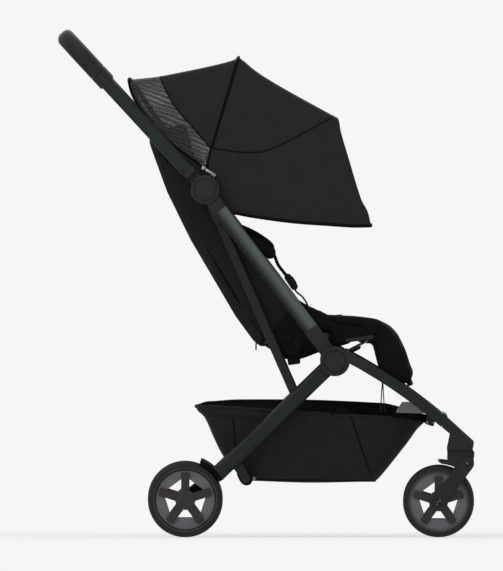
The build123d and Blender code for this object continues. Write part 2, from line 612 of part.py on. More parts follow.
# Canopy: four bows on the upper hubs and three panels that nest over each other
REAR_BOW_ANGLE = 124.5
MIDDLE_BOW_ANGLE = 75.8
FRONT_BOW_ANGLE = 27.6
VISOR_BOW_ANGLE = -12.3
REAR_REACH = 283.0
MIDDLE_REACH = 287.0
FRONT_REACH = 314.0
VISOR_REACH = 351.0
BOW_WIDTH = 10.0
BOW_THICKNESS = 3.0
BOW_EYE_RADIUS = 11.0
BOW_SEAT_GAP = 3.0
BOW_STEP = 4.0
BOW_SLACK = 7.0
PANEL_THICKNESS = 2.0
PANEL_EDGE_RADIUS = 46.0
PANEL_STEP = 4.0
PANEL_SIDE_GAP = 22.0
PANEL_HEM = 40.0
VISOR_HEM_ANGLES = (-46.6, -20.0)
VISOR_HEM_REACH = 70.3


def bow(angle, reach, number, gap):
    """A U-shaped flat bow: an eye on each hub pin, an arm up each side and a bar across."""
    turn = radians(angle)
    bow_plane = Plane(
        origin=(UPPER_HUB[0], 0, UPPER_HUB[1]),
        x_dir=(0, 1, 0),
        z_dir=(sin(turn), 0, -cos(turn)),
    )
    inner = SEAT_HALF_WIDTH + BOW_SEAT_GAP + number * BOW_STEP
    layer = (inner, inner + BOW_THICKNESS)
    half = inner + BOW_THICKNESS / 2
    top = reach - PANEL_THICKNESS - BOW_SLACK
    line = FilletPolyline((-half, 0), (-half, top), (half, top), (half, 0), radius=PANEL_EDGE_RADIUS)
    piece = extrude(bow_plane * trace(line, BOW_THICKNESS), BOW_WIDTH / 2, both=True)
    for eye in both(plate(disc(UPPER_HUB, BOW_EYE_RADIUS), layer)):
        piece += eye
    return piece - across(disc(UPPER_HUB, HUB_PIN_RADIUS + gap), layer[1] + PIN_END)


def panel(number, hem, top):
    """A hood panel, open below and towards its neighbours: hem points, then its top edge."""
    half_width = SEAT_HALF_WIDTH + PANEL_SIDE_GAP + number * PANEL_STEP
    corners = [polar(UPPER_HUB, angle, reach) for angle, reach in top]

    def hood(inset):
        lowered = [towards(corners[0], hem[-1], inset), towards(corners[1], hem[0], inset)]
        shape = across(outline(hem + lowered), half_width - inset)
        upper = halfway(*lowered)
        edges = shape.edges().filter_by(Axis.Y, reverse=True)
        right_edge = edges.sort_by_distance((upper[0], -half_width, upper[1]))[:1]
        left_edge = edges.sort_by_distance((upper[0], half_width, upper[1]))[:1]
        return fillet(right_edge + left_edge, PANEL_EDGE_RADIUS - inset)

    return hood(0) - hood(PANEL_THICKNESS)


save("canopy_visor_bow", bow(VISOR_BOW_ANGLE, VISOR_REACH, 0, RUNNING_GAP))
save("canopy_rear_bow", bow(REAR_BOW_ANGLE, REAR_REACH, 1, FIXED_GAP))
save("canopy_middle_bow", bow(MIDDLE_BOW_ANGLE, MIDDLE_REACH, 2, RUNNING_GAP))
save("canopy_front_bow", bow(FRONT_BOW_ANGLE, FRONT_REACH, 3, RUNNING_GAP))

rear_hem = polar(UPPER_HUB, REAR_BOW_ANGLE, PANEL_HEM)
middle_hem = polar(UPPER_HUB, MIDDLE_BOW_ANGLE, PANEL_HEM)
front_hem = polar(UPPER_HUB, FRONT_BOW_ANGLE, PANEL_HEM)
visor_tail = polar(UPPER_HUB, VISOR_HEM_ANGLES[0], VISOR_HEM_REACH)
visor_hem = polar(UPPER_HUB, VISOR_HEM_ANGLES[1], PANEL_HEM)
rear_top = [(REAR_BOW_ANGLE, REAR_REACH), (MIDDLE_BOW_ANGLE, MIDDLE_REACH)]
middle_top = [(MIDDLE_BOW_ANGLE, MIDDLE_REACH + PANEL_STEP), (FRONT_BOW_ANGLE, FRONT_REACH)]
visor_top = [(FRONT_BOW_ANGLE, FRONT_REACH + PANEL_STEP), (VISOR_BOW_ANGLE, VISOR_REACH)]
save("canopy_rear_panel", panel(0, [middle_hem, rear_hem], rear_top))
save("canopy_middle_panel", panel(1, [front_hem, middle_hem], middle_top))
save("canopy_visor_panel", panel(2, [visor_tail, visor_hem, front_hem], visor_top))

# Seat: a base and a reclining backrest with side wings and crowned cushions
SEAT_WING = 13.0
CUSHION_CROWN = 14.0
CUSHION_MARGIN = 4.0
BACKREST_TOP_RADIUS = 20.0
BACKREST_SIDE = [
    (-250.0, 444.0),
    (-203.0, 315.0),
    (-154.0, 215.0),
    (-60.0, 55.0),
    (-22.0, 3.0),
    (-7.0, -12.0),
    (4.0, -11.0),
    (65.0, 74.0),
    (-8.0, 165.0),
    (-71.0, 240.0),
    (-125.0, 325.0),
    (-164.0, 459.0),
]
BACKREST_HOLLOW = [(-215.0, 495.0), (-166.0, 334.0), (-114.0, 228.0), (-25.0, 82.0), (15.0, 27.0)]
BACKREST_MOUTH = [(121.0, 27.0), (121.0, 495.0)]
SEAT_SIDE = [
    (9.0, -25.0),
    (72.0, 68.0),
    (87.0, 77.0),
    (133.0, 58.0),
    (200.0, 48.0),
    (223.0, 47.0),
    (223.0, 16.0),
    (164.0, -2.0),
    (122.0, -13.0),
    (71.0, -32.0),
    (46.0, -34.0),
]
SEAT_HOLLOW = [(35.0, 11.0), (91.0, 30.0), (164.0, 41.0), (231.0, 42.0)]
SEAT_MOUTH = [(231.0, 115.0), (61.0, 115.0)]
wing_inside = SEAT_HALF_WIDTH - SEAT_WING


def crowned_pad(start, end):
    """A cushion's crown: a low arch across the seat between two side-view points."""
    turn = radians(heading(start, end))
    run = Plane(
        origin=(start[0], 0, start[1]),
        x_dir=(0, 1, 0),
        z_dir=(cos(turn), 0, sin(turn)),
    )
    half = wing_inside - CUSHION_MARGIN
    arch = ThreePointArc((-half, 0), (0, CUSHION_CROWN), (half, 0))
    return extrude(run * make_face([arch, Line(arch @ 1, arch @ 0)]), spacing(start, end))


backrest_hollow = around(RECLINE_PIVOT, BACKREST_HOLLOW)
backrest = across(outline(around(RECLINE_PIVOT, BACKREST_SIDE)), SEAT_HALF_WIDTH)
backrest = fillet(backrest.edges().filter_by(Axis.Y).sort_by(Axis.Z)[-2:], BACKREST_TOP_RADIUS)
backrest -= across(outline(backrest_hollow + around(RECLINE_PIVOT, BACKREST_MOUTH)), wing_inside)
for start, end in zip(backrest_hollow[1:3], backrest_hollow[2:4]):
    backrest += crowned_pad(start, end)
backrest -= across(disc(RECLINE_PIVOT, RIVET_RADIUS + RUNNING_GAP), SEAT_HALF_WIDTH)
save("backrest", backrest)

CALF_PIVOT = (218.4, 416.0)
CALF_ROLL_RADIUS = 36.0
CALF_ROLL_GAP = 1.5
EAR_RADIUS = 12.0
EAR_WIDTH = 20.0
EAR_THICKNESS = 4.0
EAR_FOOT_RADIUS = 10.0
EAR_ROOT = 1.0
EAR_STEP = (61.0, -15.0)
seat_hollow = around(RECLINE_PIVOT, SEAT_HOLLOW)
seat_base = across(outline(around(RECLINE_PIVOT, SEAT_SIDE)), SEAT_HALF_WIDTH)
seat_base -= across(outline(seat_hollow + around(RECLINE_PIVOT, SEAT_MOUTH)), wing_inside)
seat_base += crowned_pad(seat_hollow[1], seat_hollow[2])
seat_base -= across(disc(CALF_PIVOT, CALF_ROLL_RADIUS + CALF_ROLL_GAP), SEAT_HALF_WIDTH)
seat_base -= across(disc(SEAT_BAR, SEAT_BAR_RADIUS + FIXED_GAP), SEAT_HALF_WIDTH)
ear_foot = around(RECLINE_PIVOT, [EAR_STEP])[0]
ear_layer = (SEAT_HALF_WIDTH, SEAT_HALF_WIDTH + EAR_THICKNESS)
ear = plate(disc(RECLINE_PIVOT, EAR_RADIUS) + capsule(RECLINE_PIVOT, ear_foot, EAR_WIDTH), ear_layer)
ear -= plate(disc(RECLINE_PIVOT, RIVET_RADIUS + FIXED_GAP), ear_layer)
ear += plate(disc(ear_foot, EAR_FOOT_RADIUS), (SEAT_HALF_WIDTH - EAR_ROOT, SEAT_HALF_WIDTH))
for side in both(ear):
    seat_base += side
save("seat_base", seat_base)

# Calf rest: a cushion with drawn-in sides, hinged on a rod in front of the seat
CALF_DRAW = [(-1.0, 0.9), (-0.7, 0.985), (0.0, 1.0), (0.7, 0.985), (1.0, 0.9)]
CALF_MIDDLE_STEP = (44.0, -38.0)
CALF_BOSS_RADIUS = 11.0
CALF_OPEN = [(6.0, -12.0), (-40.0, -6.0), (-40.0, -60.0), (20.0, -60.0)]
CALF_SIDE = [
    (0.0, 0.0),
    (8.6, 35.0),
    (30.6, 27.0),
    (52.6, 2.0),
    (68.6, -31.0),
    (78.6, -63.0),
    (86.6, -79.0),
    (85.6, -101.0),
    (79.6, -103.0),
    (66.6, -98.0),
    (18.6, -68.0),
    (5.6, -15.0),
]
calf_middle = around(CALF_PIVOT, [CALF_MIDDLE_STEP])[0]


def calf_section(distance, share):
    points = around(CALF_PIVOT, CALF_SIDE)
    drawn = [towards(calf_middle, point, share * spacing(calf_middle, point)) for point in points]
    return Plane.XZ.offset(distance) * outline(drawn)


calf_rest = loft([calf_section(place * SEAT_HALF_WIDTH, share) for place, share in CALF_DRAW])
calf_roll = disc(CALF_PIVOT, CALF_ROLL_RADIUS) - outline(around(CALF_PIVOT, CALF_OPEN))
calf_rest += across(calf_roll + disc(CALF_PIVOT, CALF_BOSS_RADIUS), SEAT_HALF_WIDTH)
calf_rest -= across(disc(CALF_PIVOT, RIVET_RADIUS + RUNNING_GAP), SEAT_HALF_WIDTH)
save("calf_rest", calf_rest)

CALF_BRACKET_STEP = (-50.0, -7.0)
CALF_BRACKET_WIDTH = 8.5
CALF_BRACKET_GAP = 1.0
CALF_BRACKET_FOOT = 4.0
bracket_foot = around(CALF_PIVOT, [CALF_BRACKET_STEP])[0]
bracket_bar = capsule(CALF_PIVOT, bracket_foot, CALF_BRACKET_WIDTH)
calf_rod = across(disc(CALF_PIVOT, RIVET_RADIUS), ear_layer[1])
for side in both(plate(bracket_bar, (ear_layer[0] + CALF_BRACKET_GAP, ear_layer[1]))):
    calf_rod += side
for side in both(plate(disc(bracket_foot, CALF_BRACKET_FOOT), ear_layer)):
    calf_rod += side
save("calf_hinge_rod", calf_rod)

# Harness: two padded shoulder straps, a crotch strap and a buckle with a push button
STRAP_OFFSET = 62.0
STRAP_HALF = 24.0
STRAP_THICKNESS = 10.0
STRAP_LINE = [(-121.0, 247.0), (-57.0, 240.0), (-7.0, 221.0), (25.0, 185.0), (31.0, 157.0)]
shoulder_side = trace(Spline(*around(RECLINE_PIVOT, STRAP_LINE)), STRAP_THICKNESS)
shoulder_strap = Pos(Y=-STRAP_OFFSET) * across(shoulder_side, STRAP_HALF) - backrest
save("shoulder_straps", *both(shoulder_strap))

BUCKLE_LINE = [(46.0, 134.1), (59.0, 114.9)]
BUCKLE_WIDTH = 15.0
BUCKLE_HALF = 18.0
PUSH_RADIUS = 8.0
PUSH_FLOOR = 2.5
PUSH_ROOT = 5.0
PUSH_HEIGHT = 4.0
CROTCH_STEP = (85.0, 30.0)
CROTCH_HALF = 12.0
CROTCH_THICKNESS = 4.0
buckle_top, buckle_foot = around(RECLINE_PIVOT, BUCKLE_LINE)
buckle_middle = halfway(buckle_top, buckle_foot)
press_turn = radians(heading(buckle_top, buckle_foot) + 90)
press_plane = Plane(
    origin=(buckle_middle[0], 0, buckle_middle[1]),
    x_dir=(0, 1, 0),
    z_dir=(cos(press_turn), 0, sin(press_turn)),
)
buckle = across(capsule(buckle_top, buckle_foot, BUCKLE_WIDTH), BUCKLE_HALF)
buckle -= extrude(press_plane.offset(PUSH_FLOOR) * Circle(PUSH_RADIUS + BUTTON_GAP), BUCKLE_WIDTH / 2)
save("buckle", buckle)
save("buckle_button", extrude(press_plane.offset(PUSH_ROOT) * Circle(PUSH_RADIUS), PUSH_HEIGHT))
crotch_foot = around(RECLINE_PIVOT, [CROTCH_STEP])[0]
crotch_strap = across(strip(buckle_foot, crotch_foot, CROTCH_THICKNESS), CROTCH_HALF)
save("crotch_strap", crotch_strap - buckle - seat_base)

# Basket: a fabric bucket hung between the legs, wrapped round the rear bow
BASKET_WALL = 4.0
BASKET_STEP = 2.0
BASKET_EDGE_RADIUS = 18.0
BASKET_BOW_GAP = 0.5
BASKET_SIDE = [
    (-104.0, 152.0),
    (-87.0, 128.0),
    (-47.0, 46.0),
    (-15.0, 9.0),
    (0.0, -14.0),
    (34.0, -10.0),
    (267.0, -10.0),
    (341.0, 73.0),
    (374.0, 112.0),
    (374.0, 126.0),
    (183.0, 142.0),
]
BASKET_HOLLOW = [
    (-99.0, 159.0),
    (-83.0, 128.0),
    (-43.0, 48.0),
    (-11.0, 13.0),
    (21.0, 10.0),
    (35.0, -4.0),
    (265.0, -6.0),
    (338.0, 76.0),
    (370.0, 114.0),
    (370.0, 159.0),
]
basket_half = SEAT_HALF_WIDTH + BASKET_STEP
basket = across(outline(around(leg_bow_foot, BASKET_SIDE)), basket_half)
basket = fillet(basket.edges().filter_by(Axis.X).sort_by(Axis.Z)[:2], BASKET_EDGE_RADIUS)
basket -= across(outline(around(leg_bow_foot, BASKET_HOLLOW)), basket_half - BASKET_WALL)
basket -= across(disc(leg_bow_foot, LEG_BOW_RADIUS + BASKET_BOW_GAP), basket_half)
save("basket", basket)
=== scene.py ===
import bpy
import json
import math
from mathutils import Vector, noise
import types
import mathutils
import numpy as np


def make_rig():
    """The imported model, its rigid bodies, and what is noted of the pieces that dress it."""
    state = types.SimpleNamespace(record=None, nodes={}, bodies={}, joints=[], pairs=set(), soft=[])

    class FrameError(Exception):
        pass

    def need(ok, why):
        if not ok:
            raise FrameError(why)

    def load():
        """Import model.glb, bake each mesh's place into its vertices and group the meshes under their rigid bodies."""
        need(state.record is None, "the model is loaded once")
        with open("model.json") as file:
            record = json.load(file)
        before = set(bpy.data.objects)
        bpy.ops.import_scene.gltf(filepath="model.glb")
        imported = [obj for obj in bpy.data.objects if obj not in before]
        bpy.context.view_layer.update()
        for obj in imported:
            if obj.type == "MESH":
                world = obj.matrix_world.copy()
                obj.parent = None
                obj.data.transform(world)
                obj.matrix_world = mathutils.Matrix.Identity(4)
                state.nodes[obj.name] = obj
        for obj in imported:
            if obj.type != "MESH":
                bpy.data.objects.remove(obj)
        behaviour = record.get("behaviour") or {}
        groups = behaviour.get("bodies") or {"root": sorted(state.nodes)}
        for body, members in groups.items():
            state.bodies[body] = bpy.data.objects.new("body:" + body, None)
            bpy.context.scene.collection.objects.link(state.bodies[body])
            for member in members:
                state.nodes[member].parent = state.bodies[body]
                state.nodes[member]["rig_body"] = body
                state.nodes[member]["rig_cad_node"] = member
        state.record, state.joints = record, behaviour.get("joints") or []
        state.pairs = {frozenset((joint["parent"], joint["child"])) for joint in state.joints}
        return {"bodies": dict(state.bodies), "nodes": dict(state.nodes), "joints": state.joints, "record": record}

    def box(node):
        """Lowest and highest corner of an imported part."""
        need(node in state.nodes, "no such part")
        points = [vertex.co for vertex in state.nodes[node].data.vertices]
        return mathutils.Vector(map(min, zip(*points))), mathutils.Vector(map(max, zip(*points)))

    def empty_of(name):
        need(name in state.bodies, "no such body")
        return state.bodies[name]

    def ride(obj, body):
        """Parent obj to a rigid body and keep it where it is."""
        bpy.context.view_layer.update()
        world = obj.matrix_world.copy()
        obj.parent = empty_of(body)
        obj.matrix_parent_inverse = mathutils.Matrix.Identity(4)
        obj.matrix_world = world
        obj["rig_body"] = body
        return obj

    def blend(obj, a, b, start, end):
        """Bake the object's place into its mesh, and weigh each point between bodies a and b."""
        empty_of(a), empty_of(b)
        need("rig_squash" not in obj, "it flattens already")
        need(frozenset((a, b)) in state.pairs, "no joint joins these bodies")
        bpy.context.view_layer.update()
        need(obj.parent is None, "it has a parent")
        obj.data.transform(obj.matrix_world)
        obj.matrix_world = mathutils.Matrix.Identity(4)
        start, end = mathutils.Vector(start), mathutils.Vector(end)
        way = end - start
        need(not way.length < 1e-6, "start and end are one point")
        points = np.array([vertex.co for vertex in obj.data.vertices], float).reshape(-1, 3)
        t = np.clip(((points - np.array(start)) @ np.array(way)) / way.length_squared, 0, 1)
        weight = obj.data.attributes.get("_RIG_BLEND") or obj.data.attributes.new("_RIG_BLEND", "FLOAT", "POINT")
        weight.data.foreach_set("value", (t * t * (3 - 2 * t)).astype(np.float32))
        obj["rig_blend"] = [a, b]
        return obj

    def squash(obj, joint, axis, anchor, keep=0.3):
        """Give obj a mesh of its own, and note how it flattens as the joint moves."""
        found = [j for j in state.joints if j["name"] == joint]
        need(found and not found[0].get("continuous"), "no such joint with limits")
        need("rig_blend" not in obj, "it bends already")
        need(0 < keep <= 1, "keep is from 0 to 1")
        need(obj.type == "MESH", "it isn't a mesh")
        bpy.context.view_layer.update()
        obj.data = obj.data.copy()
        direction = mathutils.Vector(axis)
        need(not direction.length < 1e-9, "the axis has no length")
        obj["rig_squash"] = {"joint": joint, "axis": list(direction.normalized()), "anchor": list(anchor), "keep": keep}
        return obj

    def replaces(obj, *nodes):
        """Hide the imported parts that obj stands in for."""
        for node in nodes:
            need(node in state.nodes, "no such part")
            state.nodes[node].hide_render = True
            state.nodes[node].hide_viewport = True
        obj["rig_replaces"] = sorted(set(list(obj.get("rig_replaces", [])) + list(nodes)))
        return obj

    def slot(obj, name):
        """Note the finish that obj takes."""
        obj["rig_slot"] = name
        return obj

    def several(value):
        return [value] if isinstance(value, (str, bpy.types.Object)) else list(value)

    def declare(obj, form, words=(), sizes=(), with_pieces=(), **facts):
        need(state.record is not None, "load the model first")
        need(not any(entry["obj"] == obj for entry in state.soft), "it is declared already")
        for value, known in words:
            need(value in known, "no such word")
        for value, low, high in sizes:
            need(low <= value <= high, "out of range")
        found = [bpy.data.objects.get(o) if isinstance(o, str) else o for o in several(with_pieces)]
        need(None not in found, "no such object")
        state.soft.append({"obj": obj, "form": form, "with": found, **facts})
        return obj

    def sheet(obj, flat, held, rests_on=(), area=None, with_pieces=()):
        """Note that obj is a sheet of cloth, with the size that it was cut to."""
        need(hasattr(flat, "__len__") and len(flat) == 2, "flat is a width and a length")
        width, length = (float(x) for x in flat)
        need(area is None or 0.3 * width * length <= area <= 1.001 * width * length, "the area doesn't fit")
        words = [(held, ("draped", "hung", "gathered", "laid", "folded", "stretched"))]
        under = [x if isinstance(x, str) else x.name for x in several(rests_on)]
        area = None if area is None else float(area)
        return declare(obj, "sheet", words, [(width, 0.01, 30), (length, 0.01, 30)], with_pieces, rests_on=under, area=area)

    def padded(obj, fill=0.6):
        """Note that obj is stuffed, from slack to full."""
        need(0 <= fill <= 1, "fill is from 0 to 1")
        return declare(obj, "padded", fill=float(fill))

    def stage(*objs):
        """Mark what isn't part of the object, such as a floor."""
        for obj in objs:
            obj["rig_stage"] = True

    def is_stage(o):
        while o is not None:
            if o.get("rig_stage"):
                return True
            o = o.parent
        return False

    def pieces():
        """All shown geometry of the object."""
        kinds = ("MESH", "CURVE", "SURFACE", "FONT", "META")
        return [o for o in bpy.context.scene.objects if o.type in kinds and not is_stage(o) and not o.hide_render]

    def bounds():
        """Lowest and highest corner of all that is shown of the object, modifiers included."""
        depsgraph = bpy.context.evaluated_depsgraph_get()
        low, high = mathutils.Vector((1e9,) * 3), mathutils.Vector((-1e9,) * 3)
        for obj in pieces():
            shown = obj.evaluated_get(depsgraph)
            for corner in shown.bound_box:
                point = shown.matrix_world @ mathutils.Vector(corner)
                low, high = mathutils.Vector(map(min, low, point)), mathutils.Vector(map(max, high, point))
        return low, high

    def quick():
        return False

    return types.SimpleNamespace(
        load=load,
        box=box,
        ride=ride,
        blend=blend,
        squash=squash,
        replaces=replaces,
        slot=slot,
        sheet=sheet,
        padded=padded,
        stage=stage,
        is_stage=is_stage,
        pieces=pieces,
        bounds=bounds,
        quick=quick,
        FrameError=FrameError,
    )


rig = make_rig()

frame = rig.load()
cad_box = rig.bounds()

# The studio: a long lens square to the stroller's right side, a pale floor that fades into a
# pale wall, one broad soft lamp overhead, one beside the camera and one behind the stroller.
CAMERA_DISTANCE = 20.0
CAMERA_TILT = math.radians(0.5)
PICTURE_HEIGHT = 1.1877
VIEW_CENTRE = (-0.031, 0.522)
STUDIO_WHITE = "#f6f6f6"
FLOOR_SIZE = 12.0
FLOOR_DROP = 0.0005
GLOW_START, GLOW_END = 0.55, 1.6
GLOW_NEAR, GLOW_FAR = 0.66, 1.0
HAZE_STRENGTH = 0.5
LAMP_AIM = Vector((0, 0, 0.5))


def linear(code):
    """An sRGB hex colour as linear light, opaque."""
    shares = [int(code[start : start + 2], 16) / 255 for start in (1, 3, 5)]
    light = [c / 12.92 if c <= 0.04045 else ((c + 0.055) / 1.055) ** 2.4 for c in shares]
    return (*light, 1.0)


def add(tree, kind, settings, inputs):
    """One shader node with its settings; each input gets a value or a link."""
    node = tree.nodes.new("ShaderNode" + kind)
    for name, value in settings.items():
        setattr(node, name, value)
    for key, value in inputs.items():
        if isinstance(value, bpy.types.NodeSocket):
            tree.links.new(value, node.inputs[key])
        else:
            node.inputs[key].default_value = value
    return node


bpy.ops.object.select_all(action="DESELECT")
bpy.ops.object.camera_add(rotation=(math.pi / 2 - CAMERA_TILT, 0, 0))
camera = bpy.context.object
camera.location = (
    VIEW_CENTRE[0],
    -CAMERA_DISTANCE * math.cos(CAMERA_TILT),
    VIEW_CENTRE[1] + CAMERA_DISTANCE * math.sin(CAMERA_TILT),
)
camera.data.type = "ORTHO"
camera.data.ortho_scale = PICTURE_HEIGHT
camera.data.clip_end = 10 * CAMERA_DISTANCE
bpy.context.scene.camera = camera
bpy.context.scene.view_settings.view_transform = "Standard"

bpy.ops.mesh.primitive_plane_add(size=FLOOR_SIZE, location=(0, 0, -FLOOR_DROP))
floor = bpy.context.object
floor.name = "studio_floor"
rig.stage(floor)
painted = bpy.data.materials.new("pale_floor_paint")
painted.use_nodes = True
tree = painted.node_tree
place = add(tree, "TexCoord", {}, {}).outputs["Object"]
reach = add(tree, "VectorMath", {"operation": "LENGTH"}, {0: place})
smooth = {"interpolation_type": "SMOOTHSTEP"}
glow_range = {1: GLOW_START, 2: GLOW_END, 3: GLOW_NEAR, 4: GLOW_FAR}
fade = add(tree, "MapRange", smooth, {0: reach.outputs["Value"], **glow_range})
grain = add(tree, "TexNoise", {}, {"Vector": place, "Scale": 9.0, "Detail": 3.0})
paint = add(tree, "MixRGB", {}, {0: grain.outputs["Fac"], 1: linear("#f4f4f4"), 2: linear("#f8f8f8")})
matt = add(tree, "BsdfDiffuse", {}, {"Color": paint.outputs[0], "Roughness": 0.6})
glow = add(tree, "Emission", {}, {"Color": linear(STUDIO_WHITE), "Strength": 1.0})
blend = add(tree, "MixShader", {}, {0: fade.outputs[0], 1: matt.outputs[0], 2: glow.outputs[0]})
tree.links.new(blend.outputs[0], tree.nodes["Material Output"].inputs["Surface"])
floor.data.materials.append(painted)

world = bpy.data.worlds.new("studio_wall")
bpy.context.scene.world = world
world.use_nodes = True
tree = world.node_tree
ray = add(tree, "LightPath", {}, {})
direct, glossy, through = (ray.outputs[f"Is {kind} Ray"] for kind in ("Camera", "Glossy", "Transmission"))
clear = add(tree, "Math", {"operation": "MAXIMUM"}, {0: glossy, 1: through})
seen = add(tree, "Math", {"operation": "MAXIMUM"}, {0: direct, 1: clear.outputs[0]})
wall = add(tree, "Background", {}, {"Color": linear(STUDIO_WHITE), "Strength": 1.0})
haze = add(tree, "Background", {}, {"Color": linear(STUDIO_WHITE), "Strength": HAZE_STRENGTH})
both = add(tree, "MixShader", {}, {0: seen.outputs[0], 1: haze.outputs[0], 2: wall.outputs[0]})
tree.links.new(both.outputs[0], tree.nodes["World Output"].inputs["Surface"])

for name, spot, size, power in (
    ("overhead_softbox", (-0.3, -0.6, 3.2), 3.0, 36.0),
    ("camera_softbox", (-1.4, -3.2, 1.7), 2.4, 30.0),
    ("rim_softbox", (1.6, 2.4, 2.2), 2.0, 14.0),
):
    bpy.ops.object.light_add(type="AREA", location=spot)
    lamp = bpy.context.object
    lamp.name = name
    lamp.data.size = size
    lamp.data.energy = power
    lamp.rotation_euler = (LAMP_AIM - Vector(spot)).to_track_quat("-Z", "Y").to_euler()

# Main frame tubes: rear legs, uprights, handle, front legs, links and cross tubes. Flat oval
# aluminium, bead blasted and anodised a dark green grey, which gives a soft satin light edge. The
# blasted grain is drawn coarser than it is, so that it shows.
BLAST_GRAIN_MM = 1.4
CLOUD_MM = 70
TUBES = {
    "anodised_aluminium": (
        "#141817",
        "#1e2322",
        ["rear_leg_tubes", "handle_tubes", "front_leg_tubes", "fold_links", "rear_bow", "front_cross_tube"],
    ),
    "brushed_anodised_aluminium": ("#343a39", "#464c4b", ["upright_tubes"]),
}


def new_finish(name):
    """A material, its node tree, its main shader and the piece's own coordinates."""
    material = bpy.data.materials.new(name)
    material.use_nodes = True
    tree = material.node_tree
    coords = add(tree, "TexCoord", {}, {}).outputs["Object"]
    return material, tree, tree.nodes["Principled BSDF"], coords


def wear(material, *names):
    """Gives CAD nodes a finish in place of their own."""
    for name in names:
        mesh = frame["nodes"][name].data
        mesh.materials.clear()
        mesh.materials.append(material)


for name, (dark, pale, nodes) in TUBES.items():
    anodised, tree, shader, coords = new_finish(name)
    cloud = add(tree, "TexNoise", {}, {"Vector": coords, "Scale": 1000 / CLOUD_MM, "Detail": 4.0})
    cloud.inputs["Roughness"].default_value = 0.6
    grit = add(tree, "TexNoise", {}, {"Vector": coords, "Scale": 1000 / BLAST_GRAIN_MM, "Detail": 2.0})
    tone = add(tree, "MixRGB", {}, {0: cloud.outputs["Fac"], 1: linear(dark), 2: linear(pale)})
    grit_colour = grit.outputs["Color"]
    speck = add(tree, "MixRGB", {"blend_type": "SOFT_LIGHT"}, {0: 0.5, 1: tone.outputs[0], 2: grit_colour})
    satin = add(tree, "MapRange", {}, {0: grit.outputs["Fac"], 3: 0.36, 4: 0.5})
    relief = add(tree, "Bump", {}, {"Strength": 0.12, "Distance": 0.0004, "Height": grit.outputs["Fac"]})
    tree.links.new(speck.outputs[0], shader.inputs["Base Color"])
    tree.links.new(satin.outputs[0], shader.inputs["Roughness"])
    tree.links.new(relief.outputs[0], shader.inputs["Normal"])
    shader.inputs["Metallic"].default_value = 0.75
    wear(anodised, *nodes)

# Upright tubes: their brushed outer faces are dark towards the rear and polished paler towards the
# front, with a darker edge, so the flat oval tube looks rounder than it is.
UPRIGHT_HALF_WIDTH = 0.0155
REAR_SHADE, FRONT_POLISH, EDGE_SHADE = 0.16, 1.42, 0.5
hub_boxes = [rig.box(name) for name in ("lower_hub_pins", "upper_hub_pins")]
foot, head = [Vector(((low[0] + high[0]) / 2, 0, (low[2] + high[2]) / 2)) for low, high in hub_boxes]
beside = add(tree, "VectorMath", {"operation": "SUBTRACT"}, {0: coords, 1: foot})
across = Vector((0, 1, 0)).cross(head - foot).normalized() / UPRIGHT_HALF_WIDTH
dot = add(tree, "VectorMath", {"operation": "DOT_PRODUCT"}, {0: beside.outputs[0], 1: across})
spread = dot.outputs["Value"]
rise = add(tree, "MapRange", smooth, {0: spread, 1: -0.85, 2: 0.5, 3: REAR_SHADE, 4: FRONT_POLISH})
fall = add(tree, "MapRange", smooth, {0: spread, 1: 0.7, 2: 1.0, 3: 1.0, 4: EDGE_SHADE})
polish = add(tree, "Math", {"operation": "MULTIPLY"}, {0: rise.outputs[0], 1: fall.outputs[0]})
multiplied = {0: 1.0, 1: speck.outputs[0], 2: polish.outputs[0]}
polished = add(tree, "MixRGB", {"blend_type": "MULTIPLY"}, multiplied)
tree.links.new(polished.outputs[0], shader.inputs["Base Color"])

# Hubs, sleeves, knuckles, collars, caster parts, brake pedal and buckle: glass-filled nylon, moulded
# in a spark-eroded tool, so it is matt with a fine even pebble and a soft shine on its edges. The
# pebble is drawn coarser than it is, so that it shows.
PEBBLE_MM = 1.1
FLOW_MM = 45
nylon, tree, shader, coords = new_finish("moulded_nylon")
pebble = add(tree, "TexVoronoi", {}, {"Vector": coords, "Scale": 1000 / PEBBLE_MM})
flow = add(tree, "TexNoise", {}, {"Vector": coords, "Scale": 1000 / FLOW_MM, "Detail": 5.0})
tone = add(tree, "MixRGB", {}, {0: flow.outputs["Fac"], 1: linear("#1b191a"), 2: linear("#262324")})
shine = add(tree, "MapRange", {}, {0: pebble.outputs["Distance"], 3: 0.44, 4: 0.62})
relief = add(tree, "Bump", {}, {"Strength": 0.16, "Distance": 0.0005, "Height": pebble.outputs["Distance"]})
tree.links.new(tone.outputs[0], shader.inputs["Base Color"])
tree.links.new(shine.outputs[0], shader.inputs["Roughness"])
tree.links.new(relief.outputs[0], shader.inputs["Normal"])
shader.inputs["Specular IOR Level"].default_value = 0.16
wear(nylon, "rear_leg_sleeves", "brake_pedal", "front_leg_knuckles", "caster_housings")
wear(nylon, "caster_block_right", "caster_block_left", "caster_fork_right", "caster_fork_left")
wear(nylon, "upright_sleeves", "canopy_hubs", "handle_knuckles", "handle_collars", "fold_button")
wear(nylon, "buckle", "buckle_button")

